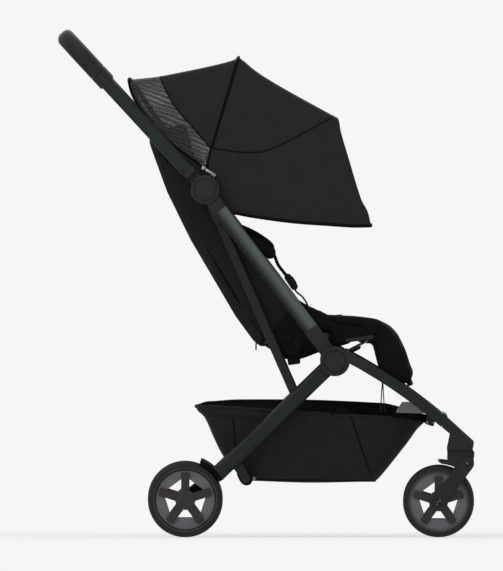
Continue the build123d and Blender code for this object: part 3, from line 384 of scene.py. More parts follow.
# Rear wheel brackets: the same nylon where they close the leg, and jet black on the arm to the
# axle and the guard over the tyre, which are moulded on in a softer grade.
GUARD_REACH, GUARD_FADE = 0.0885, 0.001
bracket_nylon, tree, shader, coords = new_finish("two_shot_moulded_nylon")
axle_low, axle_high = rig.box("rear_axles")
side_view = add(tree, "VectorMath", {"operation": "MULTIPLY"}, {0: coords, 1: (1.0, 0.0, 1.0)})
axle_spot = ((axle_low[0] + axle_high[0]) / 2, 0.0, (axle_low[2] + axle_high[2]) / 2)
reach = add(tree, "VectorMath", {"operation": "DISTANCE"}, {0: side_view.outputs[0], 1: axle_spot})
guard_end = GUARD_REACH + GUARD_FADE
grade = add(tree, "MapRange", {}, {0: reach.outputs["Value"], 1: GUARD_REACH, 2: guard_end})
pebble = add(tree, "TexVoronoi", {}, {"Vector": coords, "Scale": 1000 / PEBBLE_MM})
flow = add(tree, "TexNoise", {}, {"Vector": coords, "Scale": 1000 / FLOW_MM, "Detail": 5.0})
black = add(tree, "MixRGB", {}, {0: flow.outputs["Fac"], 1: linear("#070707"), 2: linear("#0e0e0e")})
grey = add(tree, "MixRGB", {}, {0: flow.outputs["Fac"], 1: linear("#312e2f"), 2: linear("#3e3a3b")})
tone = add(tree, "MixRGB", {}, {0: grade.outputs[0], 1: black.outputs[0], 2: grey.outputs[0]})
shine = add(tree, "MapRange", {}, {0: pebble.outputs["Distance"], 3: 0.44, 4: 0.62})
relief = add(tree, "Bump", {}, {"Strength": 0.16, "Distance": 0.0005, "Height": pebble.outputs["Distance"]})
tree.links.new(tone.outputs[0], shader.inputs["Base Color"])
tree.links.new(shine.outputs[0], shader.inputs["Roughness"])
tree.links.new(relief.outputs[0], shader.inputs["Normal"])
shader.inputs["Specular IOR Level"].default_value = 0.03
wear(bracket_nylon, "rear_wheel_brackets")

# Hub pins and the brake's pin: steel bar, turned, cut and zinc plated, so they are bright with a
# faint lengthwise streak.
STREAK_MM = 1.5
plated, tree, shader, coords = new_finish("zinc_plated_steel")
streak = add(tree, "Mapping", {}, {"Vector": coords, "Scale": (1.0, 0.08, 1.0)})
drawn = add(tree, "TexNoise", {}, {"Vector": streak.outputs[0], "Scale": 1000 / STREAK_MM, "Detail": 3.0})
tone = add(tree, "MixRGB", {}, {0: drawn.outputs["Fac"], 1: linear("#8d9093"), 2: linear("#b4b7ba")})
shine = add(tree, "MapRange", {}, {0: drawn.outputs["Fac"], 3: 0.26, 4: 0.42})
relief = add(tree, "Bump", {}, {"Strength": 0.1, "Distance": 0.0003, "Height": drawn.outputs["Fac"]})
tree.links.new(tone.outputs[0], shader.inputs["Base Color"])
tree.links.new(shine.outputs[0], shader.inputs["Roughness"])
tree.links.new(relief.outputs[0], shader.inputs["Normal"])
shader.inputs["Metallic"].default_value = 1.0
wear(plated, "lower_hub_pins", "upper_hub_pins", "brake_pin")

# Rear axles, link rivets, the bar inside the grip, seat rods and the calf rest's hinge: the same
# steel, blackened and oiled, so that the ends that show are dark with a low shine.
OIL_MM = 6
blackened, tree, shader, coords = new_finish("blackened_steel")
oil = add(tree, "TexNoise", {}, {"Vector": coords, "Scale": 1000 / OIL_MM, "Detail": 5.0, "Roughness": 0.6})
tone = add(tree, "MixRGB", {}, {0: oil.outputs["Fac"], 1: linear("#0d0d0e"), 2: linear("#1a1a1b")})
shine = add(tree, "MapRange", {}, {0: oil.outputs["Fac"], 3: 0.3, 4: 0.5})
tree.links.new(tone.outputs[0], shader.inputs["Base Color"])
tree.links.new(shine.outputs[0], shader.inputs["Roughness"])
shader.inputs["Metallic"].default_value = 0.6
wear(blackened, "rear_axles", "link_rivets", "handlebar_core", "seat_rods", "calf_hinge_rod")

# Front axles and fork pivot bolts: steel screws, rubbed bright in places and dark in others, with
# a socket for the key. The pivot bolts are sunk in the outer side of each caster fork, where it
# turns on its block.
RUB_MM = 4
PIVOT_SPOT = (0.4175, 0.153)
PIVOT_RADIUS, PIVOT_HEIGHT, PIVOT_SINK = 0.004, 0.0014, 0.0008
HEAD_SIDES = 30
SOCKET_RING, SOCKET_DEPTH, HEAD_EDGE = 0.42, 0.6, 0.2
dull_steel, tree, shader, coords = new_finish("dulled_screw_steel")
rub = add(tree, "TexNoise", {}, {"Vector": coords, "Scale": 1000 / RUB_MM, "Detail": 2.0, "Roughness": 0.5})
bare = add(tree, "MapRange", {}, {0: rub.outputs["Fac"], 1: 0.48, 2: 0.6})
tone = add(tree, "MixRGB", {}, {0: bare.outputs[0], 1: linear("#121213"), 2: linear("#6a696b")})
shine = add(tree, "MapRange", {}, {0: rub.outputs["Fac"], 3: 0.24, 4: 0.4})
tree.links.new(tone.outputs[0], shader.inputs["Base Color"])
tree.links.new(shine.outputs[0], shader.inputs["Roughness"])
shader.inputs["Metallic"].default_value = 0.9
wear(dull_steel, "front_axle_right", "front_axle_left")


def screw_head(name, spot, radius, height, out):
    """A round head with a socket, centred on a spot in metres and facing out along Y."""
    bpy.ops.object.select_all(action="DESELECT")
    bpy.ops.mesh.primitive_cylinder_add(vertices=HEAD_SIDES, radius=radius, depth=height)
    head = bpy.context.object
    head.name = head.data.name = name
    for face in head.data.polygons:
        face.select = face.normal.z > 0.9
    bpy.ops.object.mode_set(mode="EDIT")
    bpy.ops.mesh.select_mode(type="FACE")
    bpy.ops.mesh.inset(thickness=radius * SOCKET_RING)
    bpy.ops.mesh.extrude_region_move(TRANSFORM_OT_translate={"value": (0, 0, -SOCKET_DEPTH * height)})
    bpy.ops.object.mode_set(mode="OBJECT")
    for vertex in head.data.vertices:
        x, y, z = vertex.co
        vertex.co = (spot[0] + x, spot[1] + out * z, spot[2] + y)
    edge = head.modifiers.new("edge", "BEVEL")
    edge.width = height * HEAD_EDGE
    edge.segments = 2
    bpy.ops.object.modifier_apply(modifier=edge.name)
    bpy.ops.object.mode_set(mode="EDIT")
    bpy.ops.mesh.select_all(action="SELECT")
    bpy.ops.mesh.normals_make_consistent(inside=False)
    bpy.ops.object.mode_set(mode="OBJECT")
    bpy.ops.object.shade_smooth_by_angle(angle=math.radians(40))
    return head


for side, out in (("right", -1), ("left", 1)):
    fork_low, fork_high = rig.box(f"caster_fork_{side}")
    face = fork_low[1] if out < 0 else fork_high[1]
    spot = (PIVOT_SPOT[0], face - out * PIVOT_SINK, PIVOT_SPOT[1])
    bolt = screw_head(f"fork_pivot_bolt_{side}", spot, PIVOT_RADIUS, PIVOT_HEIGHT, out)
    bolt.data.materials.append(dull_steel)
    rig.ride(bolt, f"fork_{side}")
    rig.slot(bolt, "steel")

# Tyres: closed-cell polyurethane foam cast round the rim, dull black with fine pores and a
# slightly greyer, rubbed tread. The pores are drawn coarser than they are, so that they show.
WHEEL_SIDES = ("right", "left")
PORE_MM = 1.3
SCUFF_MM = 25
foam, tree, shader, coords = new_finish("cast_polyurethane_foam")
pore = add(tree, "TexVoronoi", {}, {"Vector": coords, "Scale": 1000 / PORE_MM})
rub = add(tree, "TexNoise", {}, {"Vector": coords, "Scale": 1000 / SCUFF_MM, "Detail": 6.0})
rub.inputs["Roughness"].default_value = 0.65
tone = add(tree, "MixRGB", {}, {0: rub.outputs["Fac"], 1: linear("#1b1a19"), 2: linear("#272524")})
relief = add(tree, "Bump", {}, {"Strength": 0.3, "Distance": 0.0006, "Height": pore.outputs["Distance"]})
tree.links.new(tone.outputs[0], shader.inputs["Base Color"])
tree.links.new(relief.outputs[0], shader.inputs["Normal"])
shader.inputs["Roughness"].default_value = 0.78
shader.inputs["Specular IOR Level"].default_value = 0.2
wear(foam, *[f"{end}_wheel_tyre_{side}" for end in ("rear", "front") for side in WHEEL_SIDES])

# Rims: grey polypropylene dishes with a five-sided window, moulded with a matt skin. The tyre is
# cast over the outer flange as a thin dark skin. The footrest is moulded of the same grey.
FLANGE_REACH, WHEEL_REACH = 0.0608, 0.09
RIM_SKIN_MM = 1.2
RIM_FLOW_MM = 40
polypropylene, tree, shader, coords = new_finish("moulded_polypropylene")
skin = add(tree, "TexNoise", {}, {"Vector": coords, "Scale": 1000 / RIM_SKIN_MM, "Detail": 2.0})
flow = add(tree, "TexNoise", {}, {"Vector": coords, "Scale": 1000 / RIM_FLOW_MM, "Detail": 4.0})
tone = add(tree, "MixRGB", {}, {0: flow.outputs["Fac"], 1: linear("#4c4b4f"), 2: linear("#5d5c61")})
aside = add(tree, "VectorMath", {"operation": "MULTIPLY"}, {0: coords, 1: (1.0, 0.0, 1.0)})
reaches = []
for end in ("rear", "front"):
    low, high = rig.box(f"{end}_wheel_rim_right")
    axle = ((low[0] + high[0]) / 2, 0.0, (low[2] + high[2]) / 2)
    reach = add(tree, "VectorMath", {"operation": "DISTANCE"}, {0: aside.outputs[0], 1: axle})
    reaches.append(reach.outputs["Value"])
reach = add(tree, "Math", {"operation": "MINIMUM"}, {0: reaches[0], 1: reaches[1]})
flange = add(tree, "Math", {"operation": "GREATER_THAN"}, {0: reach.outputs[0], 1: FLANGE_REACH})
inside = add(tree, "Math", {"operation": "LESS_THAN"}, {0: reach.outputs[0], 1: WHEEL_REACH})
cast = add(tree, "Math", {"operation": "MULTIPLY"}, {0: flange.outputs[0], 1: inside.outputs[0]})
skinned = add(tree, "MixRGB", {}, {0: cast.outputs[0], 1: tone.outputs[0], 2: linear("#211f1e")})
shine = add(tree, "MapRange", {}, {0: skin.outputs["Fac"], 3: 0.42, 4: 0.56})
relief = add(tree, "Bump", {}, {"Strength": 0.12, "Distance": 0.0004, "Height": skin.outputs["Fac"]})
tree.links.new(skinned.outputs[0], shader.inputs["Base Color"])
tree.links.new(shine.outputs[0], shader.inputs["Roughness"])
tree.links.new(relief.outputs[0], shader.inputs["Normal"])
wear(polypropylene, *[f"{end}_wheel_rim_{side}" for end in ("rear", "front") for side in WHEEL_SIDES])
wear(polypropylene, "footrest")

# Star hubs: five-spoked black nylon carriers pressed into the rims, a little smoother than the
# frame's mouldings.
HUB_SKIN_MM = 1.0
HUB_FLOW_MM = 30
carrier, tree, shader, coords = new_finish("smooth_black_nylon")
skin = add(tree, "TexNoise", {}, {"Vector": coords, "Scale": 1000 / HUB_SKIN_MM, "Detail": 2.0})
flow = add(tree, "TexNoise", {}, {"Vector": coords, "Scale": 1000 / HUB_FLOW_MM, "Detail": 4.0})
tone = add(tree, "MixRGB", {}, {0: flow.outputs["Fac"], 1: linear("#201e1c"), 2: linear("#2c2a28")})
shine = add(tree, "MapRange", {}, {0: skin.outputs["Fac"], 3: 0.36, 4: 0.52})
relief = add(tree, "Bump", {}, {"Strength": 0.1, "Distance": 0.0004, "Height": skin.outputs["Fac"]})
tree.links.new(tone.outputs[0], shader.inputs["Base Color"])
tree.links.new(shine.outputs[0], shader.inputs["Roughness"])
tree.links.new(relief.outputs[0], shader.inputs["Normal"])
shader.inputs["Specular IOR Level"].default_value = 0.25
wear(carrier, *[f"{end}_wheel_hub_{side}" for end in ("rear", "front") for side in WHEEL_SIDES])

# Canopy bows: flat glass-fibre strips drawn through a die and bent over the seat, black, with the
# faint mottle of the fibre and a low shine.
FIBRE_MM = 2.0
fibre, tree, shader, coords = new_finish("pultruded_glass_fibre")
streak = add(tree, "TexNoise", {}, {"Vector": coords, "Scale": 1000 / FIBRE_MM, "Detail": 4.0})
tone = add(tree, "MixRGB", {}, {0: streak.outputs["Fac"], 1: linear("#151516"), 2: linear("#222224")})
relief = add(tree, "Bump", {}, {"Strength": 0.1, "Distance": 0.0003, "Height": streak.outputs["Fac"]})
tree.links.new(tone.outputs[0], shader.inputs["Base Color"])
tree.links.new(relief.outputs[0], shader.inputs["Normal"])
shader.inputs["Roughness"].default_value = 0.42
shader.inputs["Specular IOR Level"].default_value = 0.2
wear(fibre, "canopy_rear_bow", "canopy_middle_bow", "canopy_front_bow", "canopy_visor_bow")

# Handlebar grip: a foam tube wrapped in grained leatherette and sewn shut along its inner side. The
# grain breaks up its shine, and is drawn coarser than it is, so that it shows.
GRAIN_MM = 1.8
CREASE_MM = 12
leatherette, tree, shader, coords = new_finish("grained_leatherette")
hide = add(tree, "TexVoronoi", {"feature": "SMOOTH_F1"}, {"Vector": coords, "Scale": 1000 / GRAIN_MM})
crease = add(tree, "TexNoise", {}, {"Vector": coords, "Scale": 1000 / CREASE_MM, "Detail": 6.0})
crease.inputs["Roughness"].default_value = 0.6
tone = add(tree, "MixRGB", {}, {0: crease.outputs["Fac"], 1: linear("#1c1a1b"), 2: linear("#292728")})
shine = add(tree, "MapRange", {}, {0: hide.outputs["Distance"], 3: 0.4, 4: 0.62})
relief = add(tree, "Bump", {}, {"Strength": 0.3, "Distance": 0.0006, "Height": hide.outputs["Distance"]})
tree.links.new(tone.outputs[0], shader.inputs["Base Color"])
tree.links.new(shine.outputs[0], shader.inputs["Roughness"])
tree.links.new(relief.outputs[0], shader.inputs["Normal"])
shader.inputs["Specular IOR Level"].default_value = 0.1
wear(leatherette, "handlebar_grip")

# Canopy: a hood of plain-woven polyester, cut in a rear, a middle and a visor panel, sewn along
# the bows and stretched over them, so its top dips between bows and its corners are round. Each
# panel is a little wider than the one behind it. The side-view lines are in millimetres.
REAR_HALF_WIDTH = 0.1695
MIDDLE_HALF_WIDTH = 0.172
VISOR_HALF_WIDTH = 0.175
HOOD_CORNER = 0.011
HOOD_THICKNESS = 0.0008
HOOD_RIPPLE = 0.0008
LENGTH_STEPS, WIDTH_STEPS = 60, 40
SHOULDER_START, SHOULDER_END = 0.5, 0.72
SHOULDER_SHARE, TOP_SHARE, TOP_DIP = 0.22, 0.28, 0.8
RIPPLES_ALONG, RIPPLES_ACROSS = 14, 9
MERGE_REACH = 0.0002
HOOD_LINES = {
    "rear_edge": [
        (-136.5, 775.2), (-154.0, 789.0), (-188.0, 813.4), (-220.0, 843.6), (-252.5, 881.0),
        (-277.0, 920.8), (-284.5, 949.5),
    ],
    "window_edge": [
        (-118.5, 775.0), (-116.0, 806.0), (-153.5, 852.0), (-185.3, 888.6), (-201.1, 911.9),
        (-221.5, 955.6),
    ],
    "panel_edge": [(-114.4, 806.0), (-153.0, 852.4), (-184.8, 889.0), (-200.6, 912.2), (-221.0, 955.8)],
    "middle_bow": [(-113.4, 808.2), (-84.2, 907.3), (-57.8, 995.3)],
    "visor_seam": [
        (-112.4, 808.2), (-99.8, 806.7), (-55.1, 800.8), (-5.2, 802.0), (53.0, 827.2),
        (138.9, 873.8),
    ],
    "visor_hem": [
        (-79.0, 675.8), (-65.5, 674.2), (-30.2, 667.3), (70.9, 654.8), (176.8, 647.2),
        (217.2, 647.6),
    ],
    "window_top": [(-284.5, 949.5), (-253.0, 952.4), (-221.5, 955.6)],
    "rear_top": [(-221.0, 955.8), (-149.6, 969.7), (-93.8, 982.4), (-69.9, 989.5), (-57.8, 995.3)],
    "middle_top": [
        (-57.8, 995.3), (-48.9, 989.5), (-30.2, 973.4), (-9.4, 958.3), (46.8, 924.4),
        (138.9, 873.8),
    ],
    "visor_top": [
        (138.9, 873.8), (149.6, 867.2), (155.0, 840.7), (171.6, 784.6), (197.0, 701.4),
        (211.1, 674.3), (217.2, 647.6),
    ],
    "window_foot": [(-136.5, 775.2), (-128.0, 773.0), (-118.5, 775.0)],
    "panel_foot": [(-114.4, 806.0), (-113.9, 807.0), (-113.4, 808.2)],
    "middle_foot": [(-113.4, 808.2), (-112.9, 808.2), (-112.4, 808.2)],
    "visor_foot": [
        (-112.4, 808.2), (-118.0, 787.0), (-120.0, 770.0), (-112.0, 757.0), (-104.0, 738.0),
        (-99.0, 703.5), (-79.0, 675.8),
    ],
}


def line_through(points):
    """A smooth line through points in millimetres, as a function of the share of its length."""
    points = [Vector(point) / 1000 for point in points]
    marks = [0.0]
    for start, end in zip(points, points[1:]):
        marks.append(marks[-1] + (end - start).length)
    slopes = []
    for number in range(len(points)):
        low, high = max(number - 1, 0), min(number + 1, len(points) - 1)
        slopes.append((points[high] - points[low]) / (marks[high] - marks[low]))

    def at(share):
        mark = min(max(share, 0.0), 1.0) * marks[-1]
        number = next((n for n in range(len(points) - 2) if mark <= marks[n + 1]), len(points) - 2)
        step = marks[number + 1] - marks[number]
        s = (mark - marks[number]) / step
        start = points[number] * (1 + 2 * s) * (1 - s) ** 2 + slopes[number] * s * (1 - s) ** 2 * step
        end = points[number + 1] * s * s * (3 - 2 * s) + slopes[number + 1] * s * s * (s - 1) * step
        return start + end

    return at


def laid_grid(name, columns, rows, place):
    """A grid of cloth laid so that each point goes where place(u, v) says, its UV map in metres."""
    bpy.ops.object.select_all(action="DESELECT")
    bpy.ops.mesh.primitive_grid_add(x_subdivisions=columns, y_subdivisions=rows, size=1.0)
    piece = bpy.context.object
    piece.name = piece.data.name = name
    flat = [(vertex.co.x + 0.5, vertex.co.y + 0.5) for vertex in piece.data.vertices]
    for vertex, (u, v) in zip(piece.data.vertices, flat):
        vertex.co = place(u, v)
    shares = [n / WIDTH_STEPS for n in range(WIDTH_STEPS + 1)]
    middle = [[place(share, 0.5) for share in shares], [place(0.5, share) for share in shares]]
    wide, long = (sum((b - a).length for a, b in zip(row, row[1:])) for row in middle)
    for loop in piece.data.loops:
        u, v = flat[loop.vertex_index]
        piece.data.uv_layers[0].data[loop.index].uv = (u * wide, v * long)
    return piece


def cut_size(place):
    """The width and length of the flat cloth that a laid sheet is cut from, and its area."""
    shares = [n / WIDTH_STEPS for n in range(WIDTH_STEPS + 1)]
    rows = [[place(share, n / LENGTH_STEPS) for share in shares] for n in range(LENGTH_STEPS + 1)]
    wide = max(sum((b - a).length for a, b in zip(row, row[1:])) for row in rows)
    long = max(sum((b - a).length for a, b in zip(column, column[1:])) for column in zip(*rows))
    area = 0.0
    for low, high in zip(rows, rows[1:]):
        for a, b, c, d in zip(low, low[1:], high[1:], high):
            area += ((b - a).cross(c - a).length + (c - a).cross(d - a).length) / 2
    return {"flat": (wide, long), "area": area}


def finish_cloth(piece, thickness):
    """Merges a cloth's poles, turns it outwards, gives it its thickness and smooths its shading."""
    bpy.ops.object.select_all(action="DESELECT")
    piece.select_set(True)
    bpy.context.view_layer.objects.active = piece
    bpy.ops.object.mode_set(mode="EDIT")
    bpy.ops.mesh.select_all(action="SELECT")
    bpy.ops.mesh.remove_doubles(threshold=MERGE_REACH)
    bpy.ops.mesh.normals_make_consistent(inside=False)
    bpy.ops.object.mode_set(mode="OBJECT")
    wall = piece.modifiers.new("thickness", "SOLIDIFY")
    wall.thickness = thickness
    wall.offset = -1.0
    bpy.ops.object.modifier_apply(modifier=wall.name)
    bpy.ops.object.shade_smooth_by_angle(angle=math.radians(50))


def draped_place(lines, half_width, corner, sag, ripple):
    """Where each point of a sheet goes that is draped over the stroller between two side-view lines.

    The lines are those of its rear, front, foot and top; the sheet runs from its right foot over a
    rounded shoulder and the top to its left foot."""
    rear, front, foot, top = (line_through(line) for line in lines)

    def side(u, t):
        edges = foot(u) * (1 - t) + top(u) * t + rear(t) * (1 - u) + front(t) * u
        corners = foot(0) * (1 - u) * (1 - t) + foot(1) * u * (1 - t)
        return edges - (corners + top(0) * (1 - u) * t + top(1) * u * t)

    def place(u, v):
        half = 2 * min(v, 1 - v)
        turn = -1 if v < 0.5 else 1
        length = max((top(u) - foot(u)).length, corner * 1.5)
        shoulder = 1 - corner / length
        if half < SHOULDER_START:
            t = shoulder * half / SHOULDER_START
            width = half_width
        elif half < SHOULDER_END:
            turned = (half - SHOULDER_START) / SHOULDER_SHARE * math.pi / 2
            t = 1 - corner * (1 - math.sin(turned)) / length
            width = half_width - corner * (1 - math.cos(turned))
        else:
            t = 1.0
            width = (half_width - corner) * (1 - (half - SHOULDER_END) / TOP_SHARE)
        spot = side(u, t)
        hollow = math.sin(math.pi * u) * sag
        width -= hollow * math.sin(math.pi * (half / SHOULDER_END)) if half < SHOULDER_END else 0.0
        drop = hollow * (half - SHOULDER_END) / TOP_SHARE * TOP_DIP if half > SHOULDER_END else 0.0
        waved = Vector((spot.x * RIPPLES_ALONG, turn * width * RIPPLES_ACROSS, spot.y * RIPPLES_ALONG))
        wave = noise.noise(waved) * ripple
        return Vector((spot.x, turn * (width + wave), spot.y - drop + wave))

    return place


def hood_place(rear, front, foot, top, half_width, sag):
    """Where each point of one of the hood's panels goes, between four of the hood's lines."""
    lines = [HOOD_LINES[line] for line in (rear, front, foot, top)]
    return draped_place(lines, half_width, HOOD_CORNER, sag, HOOD_RIPPLE)


# The cloth is matt and off-black, with an even weave and a slight cloud. The weave is drawn coarser
# than it is, so that it shows.
CANOPY_THREAD_MM = 1.6
CANOPY_SLUB_MM = 35
canopy_cloth, tree, shader, coords = new_finish("plain_woven_polyester")
flat_coords = coords.node.outputs["UV"]
turns = 2000 * math.pi / CANOPY_THREAD_MM
threads = add(tree, "VectorMath", {"operation": "SCALE"}, {0: flat_coords, "Scale": turns})
over = add(tree, "VectorMath", {"operation": "SINE"}, {0: threads.outputs[0]})
split = add(tree, "SeparateXYZ", {}, {0: over.outputs[0]})
weave = add(tree, "Math", {"operation": "MULTIPLY"}, {0: split.outputs[0], 1: split.outputs[1]})
lift = add(tree, "MapRange", {}, {0: weave.outputs[0], 1: -1.0, 2: 1.0})
slub = add(tree, "TexNoise", {}, {"Vector": coords, "Scale": 1000 / CANOPY_SLUB_MM, "Detail": 5.0})
slub.inputs["Roughness"].default_value = 0.6
tone = add(tree, "MixRGB", {}, {0: slub.outputs["Fac"], 1: linear("#222121"), 2: linear("#2e2d2d")})
twist = add(tree, "MixRGB", {"blend_type": "SOFT_LIGHT"}, {0: 0.35, 1: tone.outputs[0], 2: lift.outputs[0]})
relief = add(tree, "Bump", {}, {"Strength": 0.25, "Distance": 0.0005, "Height": lift.outputs[0]})
tree.links.new(twist.outputs[0], shader.inputs["Base Color"])
tree.links.new(relief.outputs[0], shader.inputs["Normal"])
shader.inputs["Roughness"].default_value = 0.82
shader.inputs["Specular IOR Level"].default_value = 0.04

# The window is knitted mesh, which the light passes, with the slanting waves of two layers seen
# through one another. Its holes are drawn coarser than they are, so that they show.
HOLE_PITCH_MM = 3.2
WAVE_MM = 14
YARN_MM = 4
OPEN_SHARE, CLOSED_SHARE = 0.14, 0.84
WAVE_COVER = 0.56
window_mesh, tree, shader, coords = new_finish("warp_knit_mesh")
flat_coords = coords.node.outputs["UV"]
turns = 2000 * math.pi / HOLE_PITCH_MM
loops = add(tree, "VectorMath", {"operation": "SCALE"}, {0: flat_coords, "Scale": turns})
over = add(tree, "VectorMath", {"operation": "SINE"}, {0: loops.outputs[0]})
split = add(tree, "SeparateXYZ", {}, {0: over.outputs[0]})
knit = add(tree, "Math", {"operation": "MULTIPLY"}, {0: split.outputs[0], 1: split.outputs[1]})
holes = add(tree, "MapRange", {}, {0: knit.outputs[0], 1: 0.06, 2: -0.06, 3: OPEN_SHARE, 4: CLOSED_SHARE})
aslant = add(tree, "VectorMath", {"operation": "MULTIPLY"}, {0: coords, 1: (0.35, 0.0, 1.0)})
bent = {"Distortion": 6.0, "Detail": 0.0, "Detail Scale": 0.3}
waves = {"Vector": aslant.outputs[0], "Scale": 1000 / WAVE_MM, **bent}
slack = add(tree, "TexWave", {"bands_direction": "DIAGONAL"}, waves)
layered = {0: slack.outputs["Fac"], 1: holes.outputs[0], 2: (WAVE_COVER, WAVE_COVER, WAVE_COVER, 1.0)}
solid = add(tree, "MixRGB", {"blend_type": "SCREEN"}, layered)
yarn = add(tree, "TexNoise", {}, {"Vector": coords, "Scale": 1000 / YARN_MM, "Detail": 3.0})
tone = add(tree, "MixRGB", {}, {0: yarn.outputs["Fac"], 1: linear("#161214"), 2: linear("#221c1f")})
tree.links.new(tone.outputs[0], shader.inputs["Base Color"])
tree.links.new(solid.outputs[0], shader.inputs["Alpha"])
shader.inputs["Roughness"].default_value = 0.7

window_place = hood_place("rear_edge", "window_edge", "window_foot", "window_top", REAR_HALF_WIDTH, 0.003)
rear_place = hood_place("panel_edge", "middle_bow", "panel_foot", "rear_top", REAR_HALF_WIDTH, 0.004)
middle_place = hood_place("middle_bow", "visor_seam", "middle_foot", "middle_top", MIDDLE_HALF_WIDTH, 0.003)
visor_place = hood_place("visor_seam", "visor_hem", "visor_foot", "visor_top", VISOR_HALF_WIDTH, 0.001)
CREASES = ((0.62, 0.0011), (0.9, 0.0014))
CREASE_SPREAD = 0.012


def creased_visor(u, v):
    """The visor with the two faint folds that packing has left along it."""
    spot = visor_place(u, v)
    fold = sum(height * math.exp(-(((u - share) / CREASE_SPREAD) ** 2)) for share, height in CREASES)
    return spot + Vector((0, math.copysign(fold, spot.y), 0)) * (1 - abs(2 * v - 1) ** 20)


window = laid_grid("canopy_window", 24, 96, window_place)
rear_hood = laid_grid("canopy_rear_cloth", 24, 96, rear_place)
middle_hood = laid_grid("canopy_middle_cloth", 36, 96, middle_place)
visor_hood = laid_grid("canopy_visor_cloth", 72, 96, creased_visor)
window.data.materials.append(window_mesh)
for piece in (rear_hood, middle_hood, visor_hood):
    piece.data.materials.append(canopy_cloth)
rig.replaces(rear_hood, "canopy_rear_panel")
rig.replaces(middle_hood, "canopy_middle_panel")
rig.replaces(visor_hood, "canopy_visor_panel")
for piece in (window, rear_hood, middle_hood, visor_hood):
    finish_cloth(piece, HOOD_THICKNESS)
    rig.slot(piece, "canopy_fabric")
REAR_FOLD = {"start": (-0.2185, 0, 0.8692), "end": (-0.0925, 0, 0.8918)}
MIDDLE_FOLD = {"start": (-0.0791, 0, 0.8889), "end": (0.0229, 0, 0.8083)}
for piece in (window, rear_hood):
    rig.blend(piece, "seat_frame", "canopy_middle", **REAR_FOLD)
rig.blend(middle_hood, "canopy_middle", "canopy_front", **MIDDLE_FOLD)
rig.ride(visor_hood, "canopy_front")
for piece, place, bows in (
    (window, window_place, ["canopy_rear_bow"]),
    (rear_hood, rear_place, ["canopy_middle_bow"]),
    (middle_hood, middle_place, ["canopy_middle_bow", "canopy_front_bow"]),
    (visor_hood, visor_place, ["canopy_front_bow", "canopy_visor_bow"]),
):
    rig.sheet(piece, held="stretched", rests_on=bows, **cut_size(place))

# Canopy trim: a folded black binding round the rear edge and the visor's hem, a zip between the
# rear and middle panels, and a thin piped seam where each of the other panels is joined. All are
# one dull black tape.
ZIP_ENDS = ((-0.1235, 0.768), (-0.1195, 0.785))
REAR_BINDING_IN = Vector((1, 0.972, 1))
BINDING_RIB_MM = 1.4


def sewn_cord(name, points, radius):
    """A thin sewn-in cord along a smooth line of points in metres, as a closed tube."""
    bpy.ops.object.select_all(action="DESELECT")
    bpy.ops.curve.primitive_nurbs_path_add()
    cord = bpy.context.object
    cord.name = cord.data.name = name
    cord.data.splines.clear()
    spline = cord.data.splines.new("NURBS")
    spline.points.add(len(points) - 1)
    for knot, point in zip(spline.points, points):
        knot.co = (*point, 1.0)
    spline.order_u = 3
    spline.use_endpoint_u = True
    spline.resolution_u = 4
    cord.data.bevel_depth = radius
    cord.data.bevel_resolution = 2
    cord.data.use_fill_caps = True
    bpy.ops.object.convert(target="MESH")
    bpy.ops.object.shade_smooth()
    return bpy.context.object


def seam_line(place, u):
    """The points of a seam that runs from foot to foot over a draped sheet."""
    return [place(u, n / 64) for n in range(65)]


binding, tree, shader, coords = new_finish("black_bias_binding")
turns = 2000 * math.pi / BINDING_RIB_MM
ribs = add(tree, "VectorMath", {"operation": "SCALE"}, {0: coords, "Scale": turns})
over = add(tree, "VectorMath", {"operation": "SINE"}, {0: ribs.outputs[0]})
split = add(tree, "SeparateXYZ", {}, {0: over.outputs[0]})
lift = add(tree, "MapRange", {}, {0: split.outputs[0], 1: -1.0, 2: 1.0})
tone = add(tree, "MixRGB", {}, {0: lift.outputs[0], 1: linear("#050505"), 2: linear("#0a0a0a")})
tree.links.new(tone.outputs[0], shader.inputs["Base Color"])
shader.inputs["Roughness"].default_value = 0.75
shader.inputs["Specular IOR Level"].default_value = 0.06

zip_ends = [[Vector((x, turn * REAR_HALF_WIDTH, z)) for x, z in ZIP_ENDS] for turn in (-1, 1)]
rear_line = [spot * REAR_BINDING_IN for spot in seam_line(window_place, 0.0)]
zip_line = zip_ends[0] + seam_line(rear_place, 1.0) + zip_ends[1][::-1]
for name, line, radius, body in (
    ("canopy_rear_binding", rear_line, 0.0048, "seat_frame"),
    ("canopy_zip", zip_line, 0.0036, "canopy_middle"),
    ("canopy_visor_piping", seam_line(visor_place, 0.0), 0.0011, "canopy_front"),
    ("canopy_hem_binding", seam_line(visor_place, 1.0), 0.0034, "canopy_front"),
):
    piece = sewn_cord(name, line, radius)
    piece.data.materials.append(binding)
    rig.ride(piece, body)
    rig.slot(piece, "canopy_fabric")
window_piping = sewn_cord("canopy_window_piping", seam_line(rear_place, 0.0), 0.0014)
window_piping.data.materials.append(binding)
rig.slot(window_piping, "canopy_fabric")
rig.blend(window_piping, "seat_frame", "canopy_middle", **REAR_FOLD)

